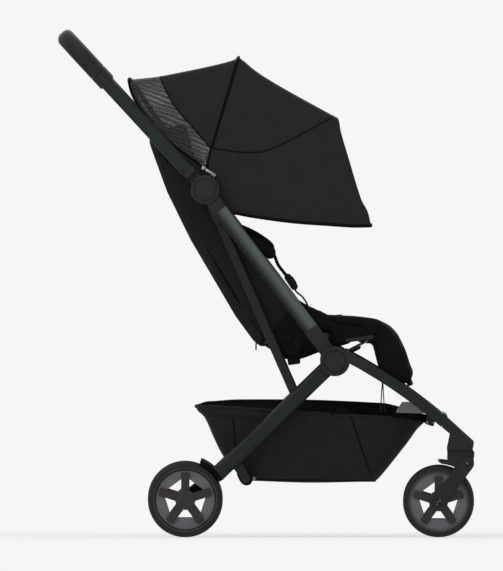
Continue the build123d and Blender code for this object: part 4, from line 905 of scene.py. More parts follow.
# Canopy skirt: on each side a small tongue of the hood's cloth that closes the corner between
# the rear binding and the upper hub.
SKIRT_HALF_WIDTH, SKIRT_FLARE = 0.1645, 0.002
SKIRT_FRONT = line_through([
    (-120.0, 771.0), (-136.5, 775.2), (-154.0, 789.0), (-188.0, 813.4), (-209.0, 832.0),
])
SKIRT_REAR = line_through([
    (-122.0, 742.0), (-148.0, 750.0), (-168.0, 768.0), (-196.0, 797.0), (-213.0, 824.0),
])
for side, turn in (("right", -1), ("left", 1)):

    def skirt_place(u, v):
        spot = SKIRT_FRONT(u) * v + SKIRT_REAR(u) * (1 - v)
        return Vector((spot.x, turn * (SKIRT_HALF_WIDTH + SKIRT_FLARE * v), spot.y))

    skirt = laid_grid(f"canopy_skirt_{side}", 30, 6, skirt_place)
    finish_cloth(skirt, HOOD_THICKNESS)
    skirt.data.materials.append(canopy_cloth)
    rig.ride(skirt, "seat_frame")
    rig.slot(skirt, "canopy_fabric")
    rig.sheet(skirt, held="stretched", rests_on=["canopy_rear_binding"], **cut_size(skirt_place))

# Zip sliders: die-cast zinc, nickel plated to a soft scuffed shine, with a flat pull that hangs
# forward over each upper hub.
SLIDER_SIZE, SLIDER_EDGE, SLIDER_SLOPE = (0.009, 0.004, 0.008), 0.0014, 60
PULL_SIZE, PULL_EDGE, PULL_SLOPE = (0.025, 0.002, 0.0058), 0.0009, -32
NICKEL_SCUFF_MM = 3
nickel, tree, shader, coords = new_finish("nickel_plated_zinc")
scuff = add(tree, "TexNoise", {}, {"Vector": coords, "Scale": 1000 / NICKEL_SCUFF_MM, "Detail": 5.0})
tone = add(tree, "MixRGB", {}, {0: scuff.outputs["Fac"], 1: linear("#737376"), 2: linear("#98989b")})
shine = add(tree, "MapRange", {}, {0: scuff.outputs["Fac"], 3: 0.25, 4: 0.42})
tree.links.new(tone.outputs[0], shader.inputs["Base Color"])
tree.links.new(shine.outputs[0], shader.inputs["Roughness"])
shader.inputs["Metallic"].default_value = 0.9


def soft_block(name, size, centre, slope, round_edge):
    """A block with rounded edges, in metres, tipped by a slope in degrees in the side view."""
    bpy.ops.object.select_all(action="DESELECT")
    bpy.ops.mesh.primitive_cube_add(size=1.0)
    block = bpy.context.object
    block.name = block.data.name = name
    bpy.ops.object.mode_set(mode="EDIT")
    bpy.ops.transform.resize(value=size)
    bpy.ops.object.mode_set(mode="OBJECT")
    edge = block.modifiers.new("edge", "BEVEL")
    edge.width = round_edge
    edge.segments = 3
    bpy.ops.object.modifier_apply(modifier=edge.name)
    tilt = math.radians(slope)
    for vertex in block.data.vertices:
        x, y, z = vertex.co
        vertex.co = (x * math.cos(tilt) - z * math.sin(tilt), y, x * math.sin(tilt) + z * math.cos(tilt))
        vertex.co += Vector(centre)
    bpy.ops.object.shade_smooth_by_angle(angle=math.radians(40))
    return block


for side, turn in (("right", -1), ("left", 1)):
    slider_spot, pull_spot = (-0.131, turn * 0.1772, 0.768), (-0.116, turn * 0.1785, 0.7585)
    slider = soft_block(f"zip_slider_{side}", SLIDER_SIZE, slider_spot, SLIDER_SLOPE, SLIDER_EDGE)
    pull = soft_block(f"zip_pull_{side}", PULL_SIZE, pull_spot, PULL_SLOPE, PULL_EDGE)
    for piece in (slider, pull):
        piece.data.materials.append(nickel)
        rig.ride(piece, "seat_frame")
        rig.slot(piece, "steel")

# Seat: a base, a reclining back with side wings and a calf rest, foam sewn into woven polyester.
# Each is the frame's own solid drawn in, blown up a little and smoothed, so its edges are soft.
PAD_VOXEL = 0.005
SWELL_FRAMES = 20
PAD_DRAWN_IN, PAD_SWELL, PAD_PRESSURE = 0.0015, 0.005, 4.0


def padded_form(node, name, drawn_in, swell, pressure):
    """A stuffed copy of a CAD node: remeshed, drawn in, swollen by cloth pressure and subdivided."""
    piece = bpy.data.objects.new(name, frame["nodes"][node].data.copy())
    piece.data.name = name
    bpy.context.scene.collection.objects.link(piece)
    bpy.ops.object.select_all(action="DESELECT")
    piece.select_set(True)
    bpy.context.view_layer.objects.active = piece
    piece.data.materials.clear()
    bpy.ops.object.mode_set(mode="EDIT")
    bpy.ops.mesh.select_all(action="SELECT")
    bpy.ops.mesh.remove_doubles(threshold=0.0001)
    bpy.ops.object.mode_set(mode="OBJECT")
    for kind, settings in (
        ("REMESH", {"mode": "VOXEL", "voxel_size": PAD_VOXEL}),
        ("DISPLACE", {"strength": -drawn_in, "mid_level": 0.0}),
        ("SMOOTH", {"factor": 0.5, "iterations": 3}),
    ):
        modifier = piece.modifiers.new(kind.lower(), kind)
        for setting, value in settings.items():
            setattr(modifier, setting, value)
        bpy.ops.object.modifier_apply(modifier=modifier.name)
    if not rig.quick():
        cloth = piece.modifiers.new("cloth", "CLOTH")
        cloth.settings.quality = 4
        cloth.settings.use_pressure = True
        cloth.settings.uniform_pressure_force = pressure
        cloth.settings.effector_weights.gravity = 0.0
        cloth.point_cache.frame_start, cloth.point_cache.frame_end = 1, SWELL_FRAMES
        for number in range(1, SWELL_FRAMES + 1):
            bpy.context.scene.frame_set(number)
        swollen = piece.evaluated_get(bpy.context.evaluated_depsgraph_get()).data.vertices
        moved = [after.co - before.co for before, after in zip(piece.data.vertices, swollen)]
        piece.modifiers.remove(cloth)
        for vertex, step in zip(piece.data.vertices, moved):
            vertex.co += step * min(1.0, swell / max(step.length, 1e-9))
        bpy.context.scene.frame_set(1)
    soften = piece.modifiers.new("subdivision", "SUBSURF")
    soften.levels = soften.render_levels = 1
    bpy.ops.object.modifier_apply(modifier=soften.name)
    bpy.ops.object.shade_smooth()
    return piece


# The cover is matt black cloth with a soft cloud, a darker one on the base and calf rest. Its weave
# is drawn coarser than it is, so that it shows.
SEAT_THREAD_MM = 1.8
SEAT_SLUB_MM = 30
seat_cloth, tree, shader, coords = new_finish("woven_seat_polyester")
turns = 2000 * math.pi / SEAT_THREAD_MM
threads = add(tree, "VectorMath", {"operation": "SCALE"}, {0: coords, "Scale": turns})
over = add(tree, "VectorMath", {"operation": "SINE"}, {0: threads.outputs[0]})
split = add(tree, "SeparateXYZ", {}, {0: over.outputs[0]})
level = add(tree, "Math", {"operation": "ADD"}, {0: split.outputs[0], 1: split.outputs[1]})
weave = add(tree, "Math", {"operation": "MULTIPLY"}, {0: level.outputs[0], 1: split.outputs[2]})
lift = add(tree, "MapRange", {}, {0: weave.outputs[0], 1: -1.6, 2: 1.6})
slub = add(tree, "TexNoise", {}, {"Vector": coords, "Scale": 1000 / SEAT_SLUB_MM, "Detail": 5.0})
slub.inputs["Roughness"].default_value = 0.6
tone = add(tree, "MixRGB", {}, {0: slub.outputs["Fac"], 1: linear("#1a1a1a"), 2: linear("#242424")})
twist = add(tree, "MixRGB", {"blend_type": "SOFT_LIGHT"}, {0: 0.35, 1: tone.outputs[0], 2: lift.outputs[0]})
relief = add(tree, "Bump", {}, {"Strength": 0.25, "Distance": 0.0006, "Height": lift.outputs[0]})
tree.links.new(twist.outputs[0], shader.inputs["Base Color"])
tree.links.new(relief.outputs[0], shader.inputs["Normal"])
shader.inputs["Roughness"].default_value = 0.85
shader.inputs["Specular IOR Level"].default_value = 0.03
base_cloth = seat_cloth.copy()
base_cloth.name = "darker_woven_polyester"
deeper = base_cloth.node_tree.nodes[tone.name]
deeper.inputs[1].default_value, deeper.inputs[2].default_value = linear("#101010"), linear("#191919")

back_pad = padded_form("backrest", "backrest_cover", PAD_DRAWN_IN, PAD_SWELL, PAD_PRESSURE)
base_pad = padded_form("seat_base", "seat_base_cover", PAD_DRAWN_IN, PAD_SWELL, PAD_PRESSURE)
calf_pad = padded_form("calf_rest", "calf_rest_cover", PAD_DRAWN_IN, PAD_SWELL, PAD_PRESSURE)
for piece, node, body, cloth in (
    (back_pad, "backrest", "backrest", seat_cloth),
    (base_pad, "seat_base", "seat_frame", base_cloth),
    (calf_pad, "calf_rest", "calf_rest", base_cloth),
):
    piece.data.materials.append(cloth)
    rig.replaces(piece, node)
    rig.ride(piece, body)
    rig.slot(piece, "seat_fabric")
    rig.padded(piece, fill=0.7)

# Seat gussets: on each side a strip of the cover that joins the back's wing to the base, and over
# the front edge a sheet of it that runs on from the base to the calf rest.
GUSSET_HALF_WIDTH, GUSSET_BULGE = 0.1486, 0.0008
COVER_THICKNESS = 0.0012
GUSSET_BACK = line_through([(-14.0, 404.0), (0.0, 420.0), (24.0, 452.0), (44.0, 486.0), (52.0, 500.0)])
GUSSET_BASE = line_through([(28.0, 378.0), (40.0, 396.0), (62.0, 428.0), (84.0, 462.0), (88.0, 478.0)])
for side, turn in (("right", -1), ("left", 1)):

    def gusset_place(u, v):
        spot = GUSSET_BACK(v) * (1 - u) + GUSSET_BASE(v) * u
        bulge = GUSSET_BULGE * math.sin(math.pi * u)
        return Vector((spot.x, turn * (GUSSET_HALF_WIDTH + bulge), spot.y))

    gusset = laid_grid(f"seat_gusset_{side}", 12, 40, gusset_place)
    finish_cloth(gusset, COVER_THICKNESS)
    gusset.data.materials.append(base_cloth)
    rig.blend(gusset, "seat_frame", "backrest", start=(0.056, 0, 0.428), end=(0.018, 0, 0.455))
    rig.slot(gusset, "seat_fabric")
    joined = ["backrest_cover", "seat_base_cover"]
    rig.sheet(gusset, held="stretched", rests_on=joined, **cut_size(gusset_place))
EDGE_HALF_WIDTH, EDGE_CORNER, EDGE_RIPPLE = 0.149, 0.009, 0.0006
FRONT_EDGE_LINES = [
    [(142.0, 404.0), (142.0, 430.0), (142.0, 459.0)],
    [(221.0, 418.0), (229.0, 434.0), (238.0, 448.0)],
    [(142.0, 404.0), (185.0, 411.0), (221.0, 418.0)],
    [(142.0, 459.0), (172.6, 458.0), (195.0, 456.0), (212.0, 454.0), (227.0, 451.5), (238.0, 447.5)],
]
front_edge_place = draped_place(FRONT_EDGE_LINES, EDGE_HALF_WIDTH, EDGE_CORNER, 0.0, EDGE_RIPPLE)
front_edge = laid_grid("seat_front_edge", 30, 96, front_edge_place)
finish_cloth(front_edge, COVER_THICKNESS)
front_edge.data.materials.append(base_cloth)
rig.blend(front_edge, "seat_frame", "calf_rest", start=(0.178, 0, 0.43), end=(0.224, 0, 0.432))
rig.slot(front_edge, "seat_fabric")
joined = ["seat_base_cover", "calf_rest_cover"]
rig.sheet(front_edge, held="stretched", rests_on=joined, **cut_size(front_edge_place))

# Seat piping: a thin black cord sewn into the cover along the edges that show from the side, one
# length on each side.
PIPING_RADIUS = 0.0019
SEAT_PIPING = {
    "backrest_rear_piping": ("backrest", 147.8, [
        (-228, 838), (-184, 722), (-137, 624), (-92, 546), (-44, 466), (-6, 416),
    ]),
    "seat_base_piping": ("seat_frame", 149.2, [(96, 470), (118, 456), (150, 447), (176, 442), (200, 440)]),
    "seat_base_low_piping": ("seat_frame", 147.8, [
        (16, 384), (45, 376), (70, 378), (120, 397), (163, 408), (186, 414),
    ]),
    "calf_rest_piping": ("calf_rest", 141.0, [
        (226, 442), (243, 433), (262, 410), (277, 380), (288, 345), (294, 326),
    ]),
}
for name, (body, half, line) in SEAT_PIPING.items():
    for side, turn in (("right", -1), ("left", 1)):
        points = [Vector((x, turn * half, z)) / 1000 for x, z in line]
        piece = sewn_cord(f"{name}_{side}", points, PIPING_RADIUS)
        piece.data.materials.append(binding)
        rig.ride(piece, body)
        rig.slot(piece, "seat_fabric")

# Backrest snaps: one small press stud of the same rubbed steel as the screws, riveted through each
# wing of the cover.
SNAP_SPOT = (-0.0102, 0.54)
SNAP_RADIUS, SNAP_HEIGHT, SNAP_RISE = 0.0024, 0.002, 0.0004
WELL_OUTSIDE = 0.5
for side, turn in (("right", -1), ("left", 1)):
    start = Vector((SNAP_SPOT[0], turn * WELL_OUTSIDE, SNAP_SPOT[1]))
    spot = back_pad.ray_cast(start, Vector((0, -turn, 0)))[1] + Vector((0, turn * SNAP_RISE, 0))
    snap = screw_head(f"backrest_snap_{side}", spot, SNAP_RADIUS, SNAP_HEIGHT, turn)
    snap.data.materials.append(dull_steel)
    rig.ride(snap, "backrest")
    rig.slot(snap, "steel")

# Calf rest struts: on each side a thin rod of rubbed steel that props the calf rest's hinge from
# the seat bar, and further back a tab of the cover.
STRUT_LINE = ((170, 386.5), (186, 394.8), (202, 403.3), (217, 411))
STRUT_HALF_MM, STRUT_RADIUS = 151.0, 0.0017
TAB_SIZE, TAB_EDGE, TAB_SLOPE = (0.026, 0.02, 0.0145), 0.003, 8
for side, turn in (("right", -1), ("left", 1)):
    strut_line = [Vector((x, turn * STRUT_HALF_MM, z)) / 1000 for x, z in STRUT_LINE]
    strut = sewn_cord(f"calf_strut_{side}", strut_line, STRUT_RADIUS)
    strut.data.materials.append(dull_steel)
    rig.slot(strut, "steel")
    tab = soft_block(f"seat_tab_{side}", TAB_SIZE, (0.0572, turn * 0.128, 0.366), TAB_SLOPE, TAB_EDGE)
    tab.data.materials.append(seat_cloth)
    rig.slot(tab, "seat_fabric")
    for piece in (strut, tab):
        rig.ride(piece, "seat_frame")

# Harness: two stuffed shoulder pads on webbing that comes together at the buckle, a crotch strap
# below it and a strap's tail under the back. The pads are seat cloth sewn over foam. The webbing is
# woven flat of polyester, its ribs drawn coarser than they are, so that they show.
PAD_LINE = [
    (-116, 62, 634), (-90, 62, 637), (-62, 61, 631), (-34, 58, 620), (-10, 54, 606), (6, 50, 592),
    (12, 47, 578),
]
FLAP_LINE = [(-76, 61, 648), (-54, 60, 645), (-28, 57, 634), (-5, 54, 620), (10, 52, 608), (16, 50, 598)]
BELT_LINE = [(18, 46, 584), (23, 40, 570), (28, 30, 561), (36, 18, 551), (42, 12, 543)]
CROTCH_LINE = [(57, 0, 520), (64, 0, 509), (75, 0, 500), (84, 0, 487), (90, 0, 470), (91, 0, 450)]
TAIL_LINE = [(-20, -120, 414), (-22, -120, 404), (-22.5, -120, 389)]
WEBBING_RIB_MM = 2.4
PAD_SQUARENESS, PAD_ROUNDNESS, PAD_END_SHARE = 0.45, 0.7, 0.25


def pad_along(name, points, width, thickness, columns):
    """A stuffed strip along points in millimetres, oval across and closed at its ends."""
    line = line_through(points)

    def place(u, v):
        spot = line(u)
        ahead = (line(min(u + 0.01, 1.0)) - line(max(u - 0.01, 0.0))).normalized()
        out = ahead.cross(Vector((0, 1, 0))).normalized()
        turned = 2 * math.pi * v
        taper = min(1.0, (1 - abs(2 * u - 1) ** 10)) ** 0.5
        wide = math.copysign(abs(math.cos(turned)) ** PAD_SQUARENESS, math.cos(turned)) * width / 2
        wide *= PAD_END_SHARE + (1 - PAD_END_SHARE) * taper
        deep = math.copysign(abs(math.sin(turned)) ** PAD_ROUNDNESS, math.sin(turned)) * thickness / 2 * taper
        return spot + Vector((0, wide, 0)) + out * deep

    piece = laid_grid(name, columns, 40, place)
    bpy.ops.object.mode_set(mode="EDIT")
    bpy.ops.mesh.select_all(action="SELECT")
    bpy.ops.mesh.remove_doubles(threshold=MERGE_REACH)
    bpy.ops.mesh.normals_make_consistent(inside=False)
    bpy.ops.object.mode_set(mode="OBJECT")
    bpy.ops.object.shade_smooth()
    return piece


def flat_strap(name, points, width, thickness, twist):
    """A flat woven strap along points in millimetres, turned from across by a twist in degrees."""
    line = line_through(points)
    turned = math.radians(twist)

    def place(u, v):
        ahead = (line(min(u + 0.01, 1.0)) - line(max(u - 0.01, 0.0))).normalized()
        out = ahead.cross(Vector((0, 1, 0))).normalized()
        wide = Vector((0, 1, 0)) * math.cos(turned) + out * math.sin(turned)
        return line(u) + wide * (v - 0.5) * width

    piece = laid_grid(name, 40, 6, place)
    finish_cloth(piece, thickness)
    return piece


webbing, tree, shader, coords = new_finish("woven_polyester_webbing")
flat_coords = coords.node.outputs["UV"]
turns = 2000 * math.pi / WEBBING_RIB_MM
ribs = add(tree, "VectorMath", {"operation": "SCALE"}, {0: flat_coords, "Scale": turns})
over = add(tree, "VectorMath", {"operation": "SINE"}, {0: ribs.outputs[0]})
split = add(tree, "SeparateXYZ", {}, {0: over.outputs[0]})
lift = add(tree, "MapRange", {}, {0: split.outputs[0], 1: -1.0, 2: 1.0})
tone = add(tree, "MixRGB", {}, {0: lift.outputs[0], 1: linear("#161616"), 2: linear("#262626")})
relief = add(tree, "Bump", {}, {"Strength": 0.4, "Distance": 0.0006, "Height": lift.outputs[0]})
tree.links.new(tone.outputs[0], shader.inputs["Base Color"])
tree.links.new(relief.outputs[0], shader.inputs["Normal"])
shader.inputs["Roughness"].default_value = 0.7
shader.inputs["Specular IOR Level"].default_value = 0.12

shoulder_pads = []
for side, turn in (("right", -1), ("left", 1)):
    pad_line, flap_line, belt_line = (
        [(x, turn * y, z) for x, y, z in line] for line in (PAD_LINE, FLAP_LINE, BELT_LINE)
    )
    pad = pad_along(f"shoulder_pad_{side}", pad_line, width=0.05, thickness=0.027, columns=60)
    flap = pad_along(f"shoulder_flap_{side}", flap_line, width=0.047, thickness=0.007, columns=48)
    belt = flat_strap(f"shoulder_belt_{side}", belt_line, width=0.02, thickness=0.0018, twist=turn * 14)
    for piece in (pad, flap):
        piece.data.materials.append(seat_cloth)
        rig.padded(piece, fill=0.6)
        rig.slot(piece, "seat_fabric")
    belt.data.materials.append(webbing)
    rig.slot(belt, "webbing")
    for piece in (pad, flap, belt):
        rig.ride(piece, "backrest")
    shoulder_pads.append(pad)
for pad in shoulder_pads:
    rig.replaces(pad, "shoulder_straps")

crotch = flat_strap("crotch_belt", CROTCH_LINE, width=0.024, thickness=0.0022, twist=4)
crotch.data.materials.append(webbing)
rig.replaces(crotch, "crotch_strap")
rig.ride(crotch, "seat_frame")
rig.slot(crotch, "webbing")
tail = flat_strap("backrest_strap_tail", TAIL_LINE, width=0.015, thickness=0.0016, twist=6)
tail.data.materials.append(webbing)
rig.ride(tail, "backrest")
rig.slot(tail, "webbing")

# Calf rest hem: the stuffed lower edge of the calf rest's cover, rolled round a strip of foam and
# bound in the same black tape as the hood.
CALF_HEM_LINE = [(286, 0, 342), (292.5, 0, 331), (297.5, 0, 321), (300.5, 0, 313.5)]
calf_hem = pad_along("calf_rest_hem", CALF_HEM_LINE, width=0.272, thickness=0.013, columns=20)
calf_hem.data.materials.append(binding)
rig.padded(calf_hem, fill=0.6)
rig.ride(calf_hem, "calf_rest")
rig.slot(calf_hem, "seat_fabric")

# Seat tongues: on each side a stuffed strip of the cover, sewn on below the seat under the calf
# rest's strut. It gives way when the calf rest is lifted.
TONGUE_LINE = [(166, 379.5), (177, 385.5), (187, 391), (196, 395.5)]
TONGUE_HALF_MM = 132
TONGUE_FOLD = {"axis": (0.88, 0, 0.47), "anchor": (0.166, 0, 0.3795), "keep": 0.55}
for side, turn in (("right", -1), ("left", 1)):
    tongue_line = [(x, turn * TONGUE_HALF_MM, z) for x, z in TONGUE_LINE]
    tongue = pad_along(f"seat_tongue_{side}", tongue_line, width=0.03, thickness=0.007, columns=24)
    tongue.data.materials.append(seat_cloth)
    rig.padded(tongue, fill=0.5)
    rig.ride(tongue, "seat_frame")
    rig.squash(tongue, "calf_rest_lift", **TONGUE_FOLD)
    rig.slot(tongue, "seat_fabric")

# Basket: a bag of coarse 600 denier polyester hung between the legs and wrapped round the rear
# bow. Its side dips at the front and its floor sags, because only its rim is held. The cloth is
# matt and off-black, its weave drawn coarser than it is, so that it shows.
BASKET_HALF_WIDTH = 0.149
BASKET_THICKNESS = 0.0022
CORNER_POWER = 0.3
FLOOR_TUCK, WALL_HOLLOW, FLOOR_SAG = 0.012, 0.006, 0.004
RIPPLE_HEIGHT, RIPPLE_COUNT = 0.0022, 12
WALL_ROWS = 0.75
HEM_DEPTH, HEM_ROLL, HEM_FADE = 0.13, 0.0035, 2.2
RIM_FALL = 1.5
BASKET_FOLD = {"axis": (0.695, 0, -0.719), "anchor": (-0.029, 0, 0.128), "keep": 0.1}
BASKET_LINES = {
    "rear": [
        (-146.6, 271.0), (-129.0, 246.6), (-108.0, 203.0), (-88.5, 164.8), (-62.0, 133.0),
        (-49.5, 117.0),
    ],
    "front": [
        (330.0, 240.0), (314.3, 220.8), (297.6, 196.5), (262.0, 153.5), (232.8, 120.6),
        (224.6, 114.7),
    ],
    "right_rim": [
        (-146.6, 271.0), (-117.5, 271.9), (-60.0, 268.6), (-3.1, 264.6), (69.7, 260.4),
        (152.9, 254.2), (277.7, 247.9), (330.0, 240.0),
    ],
    "left_rim": [
        (-146.6, 271.0), (-120.0, 277.6), (-60.0, 281.0), (30.0, 281.4), (132.1, 280.3),
        (236.1, 274.1), (298.5, 262.9), (330.0, 240.0),
    ],
}
basket_rear, basket_front = line_through(BASKET_LINES["rear"]), line_through(BASKET_LINES["front"])
rim_marks = {
    side: [Vector(point) / 1000 for point in BASKET_LINES[f"{side}_rim"]] for side in ("right", "left")
}


def rim_height(side, x):
    """The height of one side's rim above a point of the stroller's length."""
    marks = rim_marks[side]
    number = next((n for n in range(len(marks) - 2) if x <= marks[n + 1].x), len(marks) - 2)
    share = min(max((x - marks[number].x) / (marks[number + 1].x - marks[number].x), 0.0), 1.0)
    share = share * share * (3 - 2 * share)
    return marks[number].y * (1 - share) + marks[number + 1].y * share


def basket_spot(turn, depth, grow):
    """A point of the bag, by its turn round the rim and its depth: rim 0, floor edge 1, middle 2."""
    wall = min(depth, 1.0)
    rear, front = basket_rear(wall), basket_front(wall)
    angle = 2 * math.pi * turn
    ahead = math.copysign(abs(math.cos(angle)) ** CORNER_POWER, math.cos(angle))
    aside = math.copysign(abs(math.sin(angle)) ** CORNER_POWER, math.sin(angle))
    inward = max(0.0, 2.0 - depth) if depth > 1 else 1.0
    middle, reach = (rear.x + front.x) / 2, (front.x - rear.x) / 2
    x = middle + ahead * reach * inward
    share = min(max((x - rear.x) / (front.x - rear.x), 0.0), 1.0)
    z = rear.y * (1 - share) + front.y * share
    straight = basket_rear(0).y * (1 - share) + basket_front(0).y * share
    right = rim_height("right", x) - straight
    left = rim_height("left", x) - straight
    z += (right * (1 - aside) / 2 + left * (1 + aside) / 2) * (1 - wall) ** RIM_FALL
    tuck = FLOOR_TUCK * wall**3 + WALL_HOLLOW * math.sin(math.pi * wall) * (1 - ahead**2) ** 0.5
    roll = HEM_ROLL * max(0.0, 1 - HEM_FADE * share) * math.sin(math.pi * min(depth / HEM_DEPTH, 1.0))
    y = aside * (BASKET_HALF_WIDTH - tuck + roll) * inward
    sag = -FLOOR_SAG * (1 - inward**2) * (1 - ahead**6) if depth > 1 else 0.0
    waved = Vector((x * RIPPLE_COUNT, y * RIPPLE_COUNT, z * RIPPLE_COUNT))
    ripple = noise.noise(waved) * RIPPLE_HEIGHT * math.sin(math.pi * wall)
    spread = 1 + grow / BASKET_HALF_WIDTH
    return Vector((x + ahead * ripple + min(ahead, 0.0) * roll, (y + aside * ripple) * spread, z + sag))


BASKET_THREAD_MM = 2.2
BASKET_SLUB_MM = 18
basket_cloth, tree, shader, coords = new_finish("coarse_basket_polyester")
turns = 2000 * math.pi / BASKET_THREAD_MM
threads = add(tree, "VectorMath", {"operation": "SCALE"}, {0: coords, "Scale": turns})
over = add(tree, "VectorMath", {"operation": "SINE"}, {0: threads.outputs[0]})
split = add(tree, "SeparateXYZ", {}, {0: over.outputs[0]})
level = add(tree, "Math", {"operation": "ADD"}, {0: split.outputs[0], 1: split.outputs[1]})
weave = add(tree, "Math", {"operation": "MULTIPLY"}, {0: level.outputs[0], 1: split.outputs[2]})
lift = add(tree, "MapRange", {}, {0: weave.outputs[0], 1: -1.6, 2: 1.6})
slub = add(tree, "TexNoise", {}, {"Vector": coords, "Scale": 1000 / BASKET_SLUB_MM, "Detail": 6.0})
slub.inputs["Roughness"].default_value = 0.65
tone = add(tree, "MixRGB", {}, {0: slub.outputs["Fac"], 1: linear("#1b1b1b"), 2: linear("#282828")})
twist = add(tree, "MixRGB", {"blend_type": "SOFT_LIGHT"}, {0: 0.4, 1: tone.outputs[0], 2: lift.outputs[0]})
relief = add(tree, "Bump", {}, {"Strength": 0.35, "Distance": 0.0008, "Height": lift.outputs[0]})
tree.links.new(twist.outputs[0], shader.inputs["Base Color"])
tree.links.new(relief.outputs[0], shader.inputs["Normal"])
shader.inputs["Roughness"].default_value = 0.8
shader.inputs["Specular IOR Level"].default_value = 0.05


def bag_place(u, v):
    """A point of the whole bag, with three quarters of its rows on the wall."""
    depth = v / WALL_ROWS if v < WALL_ROWS else 1 + (v - WALL_ROWS) / (1 - WALL_ROWS)
    return basket_spot(u, depth, 0.0)


basket = laid_grid("basket_bag", 180, 60, bag_place)
finish_cloth(basket, BASKET_THICKNESS)
basket.data.materials.append(basket_cloth)
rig.replaces(basket, "basket")
SIDE_SEAMS = ((-0.0725, 0.017, HEM_DEPTH), (0.1745, 0.05, 0.01))
SIDE_SEAM_RISE = 0.0005
SEARCH_STEPS = 40


def side_spot(x, depth, turn):
    """A point on the bag's right or left wall, at a length of the stroller and a depth from its rim."""
    low, high = (0.5, 1.0) if turn < 0 else (0.5, 0.0)
    for _ in range(SEARCH_STEPS):
        middle = (low + high) / 2
        low, high = (middle, high) if basket_spot(middle, depth, 0.0).x < x else (low, middle)
    return basket_spot(low, depth, SIDE_SEAM_RISE)


ROUND_STEPS, WALL_STEPS = 96, 12
HEM_START, HEM_SHARE = 0.255, 0.49
FLOOR_SEAM_DEPTH, SEAM_RISE = 0.985, 0.0006
shares = [n / ROUND_STEPS for n in range(ROUND_STEPS + 1)]
rim_line = [basket_spot(share, 0.0, 0.0) for share in shares]
hem_line = [basket_spot(HEM_START + HEM_SHARE * share, HEM_DEPTH, SEAM_RISE) for share in shares]
floor_line = [basket_spot(share, FLOOR_SEAM_DEPTH, SEAM_RISE) for share in shares]
rim_binding = sewn_cord("basket_rim_binding", rim_line, radius=0.0032)
hem_seam = sewn_cord("basket_hem_seam", hem_line, radius=0.0011)
floor_seam = sewn_cord("basket_floor_seam", floor_line, radius=0.0016)
seams = []
for side, turn in (("right", -1), ("left", 1)):
    for number, (x, lean, top) in enumerate(SIDE_SEAMS, 1):
        depths = [top + (1 - top) * n / WALL_STEPS for n in range(WALL_STEPS + 1)]
        seam_points = [side_spot(x + lean * depth, depth, turn) for depth in depths]
        seams.append(sewn_cord(f"basket_side_seam_{side}_{number}", seam_points, radius=0.0012))
basket_pieces = [basket, rim_binding, hem_seam, floor_seam, *seams]
for piece in (rim_binding, hem_seam):
    piece.data.materials.append(basket_cloth)
for piece in (floor_seam, *seams):
    piece.data.materials.append(binding)
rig.sheet(basket, held="hung", rests_on=["rear_bow", "front_cross_tube"], **cut_size(bag_place))
for piece in basket_pieces:
    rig.ride(piece, "rear_frame")
    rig.slot(piece, "basket_fabric")
    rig.squash(piece, "frame_fold", **BASKET_FOLD)

# Basket fittings: a nylon hook on each side that holds the rim's front corner to the cross tube,
# with its two studs, a webbing loop and a stud at the rear bow, a clip and an eyelet on the rim, and
# narrow elastic straps that hang the rim from the seat.
HOOK_SIZE, HOOK_EDGE, HOOK_SLOPE = (0.0195, 0.014, 0.0215), 0.003, -18
HOOK_STUDS = (("stud", 0.3345, 0.2385, 0.0024), ("rivet", 0.3475, 0.2375, 0.002))
HOOK_STUD_OUT, HOOK_STUD_HEIGHT = 0.1655, 0.0024
REAR_STUD_SPOT = (-0.025, 0.1211)
LOOP_LINE = [
    (-62, 131), (-55, 116.5), (-48.5, 109.5), (-40.5, 107.5), (-33.5, 110), (-29.5, 116),
    (-28.5, 123),
]
LOOP_HALF_MM = 1000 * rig.box("rear_bow")[1][1] - 11
CLIP_SIZE, CLIP_EDGE, CLIP_SLOPE = (0.02, 0.007, 0.011), 0.002, -3
BAND_LINE = [(262, 151.5, 256), (292, 151.5, 252.5), (318, 152, 248), (336, 152.5, 245)]
STRAP_FEET, STRAP_FOOT_HEIGHT = (("rear", 237.5), ("front", 246.0)), 258
STRAP_MEET, STRAP_BEND, STRAP_KNOT, STRAP_TOP = 241, 294, (240.5, 332), (222, 408)
STRAP_HALF_MM = 125
STRAP_FOLD = {"axis": (0.12, 0, -0.99), "anchor": (0.222, 0, 0.408), "keep": 0.1}
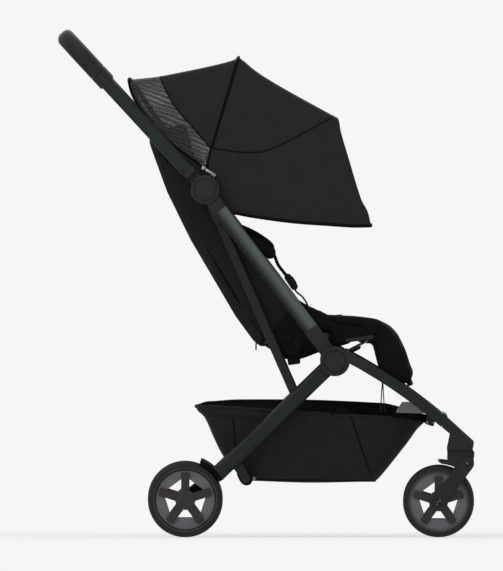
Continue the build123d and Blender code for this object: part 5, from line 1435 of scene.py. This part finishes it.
for side, turn in (("right", -1), ("left", 1)):
    hook_spot = (0.3416, turn * 0.158, 0.243)
    hook = soft_block(f"basket_hook_{side}", HOOK_SIZE, hook_spot, HOOK_SLOPE, HOOK_EDGE)
    hook.data.materials.append(nylon)
    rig.slot(hook, "dark_plastic")
    studs = [
        screw_head(f"basket_hook_{kind}_{side}", (x, turn * HOOK_STUD_OUT, z), radius, HOOK_STUD_HEIGHT, turn)
        for kind, x, z, radius in HOOK_STUDS
    ]
    for piece in studs:
        piece.data.materials.append(nickel)
        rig.slot(piece, "steel")
    for piece in (hook, *studs):
        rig.ride(piece, "front_legs")
    start = Vector((REAR_STUD_SPOT[0], turn * WELL_OUTSIDE, REAR_STUD_SPOT[1]))
    spot = basket.ray_cast(start, Vector((0, -turn, 0)))[1] + Vector((0, turn * SEAM_RISE, 0))
    stud = screw_head(f"basket_rear_stud_{side}", spot, radius=0.0036, height=0.0026, out=turn)
    stud.data.materials.append(nickel)
    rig.ride(stud, "rear_frame")
    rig.slot(stud, "steel")
    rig.squash(stud, "frame_fold", **BASKET_FOLD)
    loop_line = [(x, turn * LOOP_HALF_MM, z) for x, z in LOOP_LINE]
    bow_loop = flat_strap(f"basket_bow_loop_{side}", loop_line, width=0.02, thickness=0.007, twist=0)
    bow_loop.data.materials.append(binding)
    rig.ride(bow_loop, "rear_frame")
    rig.slot(bow_loop, "webbing")
    clip_spot = (0.157, turn * 0.1515, 0.263)
    clip = soft_block(f"basket_clip_{side}", CLIP_SIZE, clip_spot, CLIP_SLOPE, CLIP_EDGE)
    eyelet_spot = (0.1383, turn * 0.153, 0.2604)
    eyelet = screw_head(f"basket_eyelet_{side}", eyelet_spot, radius=0.0048, height=0.004, out=turn)
    for piece in (clip, eyelet):
        piece.data.materials.append(binding)
        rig.ride(piece, "rear_frame")
        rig.slot(piece, "dark_plastic")
        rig.squash(piece, "frame_fold", **BASKET_FOLD)
    band_line = [(x, turn * y, z) for x, y, z in BAND_LINE]
    band = flat_strap(f"basket_front_band_{side}", band_line, width=0.014, thickness=0.002, twist=90)
    band.data.materials.append(binding)
    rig.ride(band, "rear_frame")
    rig.slot(band, "webbing")
    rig.squash(band, "frame_fold", **BASKET_FOLD)
    for end, foot in STRAP_FEET:
        bend = ((foot + STRAP_MEET) / 2, STRAP_BEND)
        strap_marks = [(foot, STRAP_FOOT_HEIGHT), bend, STRAP_KNOT, STRAP_TOP]
        strap_line = [(x, turn * STRAP_HALF_MM, z) for x, z in strap_marks]
        strap = flat_strap(f"basket_strap_{side}_{end}", strap_line, width=0.0022, thickness=0.0012, twist=90)
        strap.data.materials.append(webbing)
        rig.ride(strap, "seat_frame")
        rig.slot(strap, "webbing")
        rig.squash(strap, "frame_fold", **STRAP_FOLD)

# The boxes of the bare part and of the dressed stroller, in metres, side by side, so that a piece
# that reaches past the part is noticed.
dressed_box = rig.bounds()
with open("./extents.json", "w") as sizes:
    json.dump({"cad": [list(c) for c in cad_box], "visual": [list(c) for c in dressed_box]}, sizes)
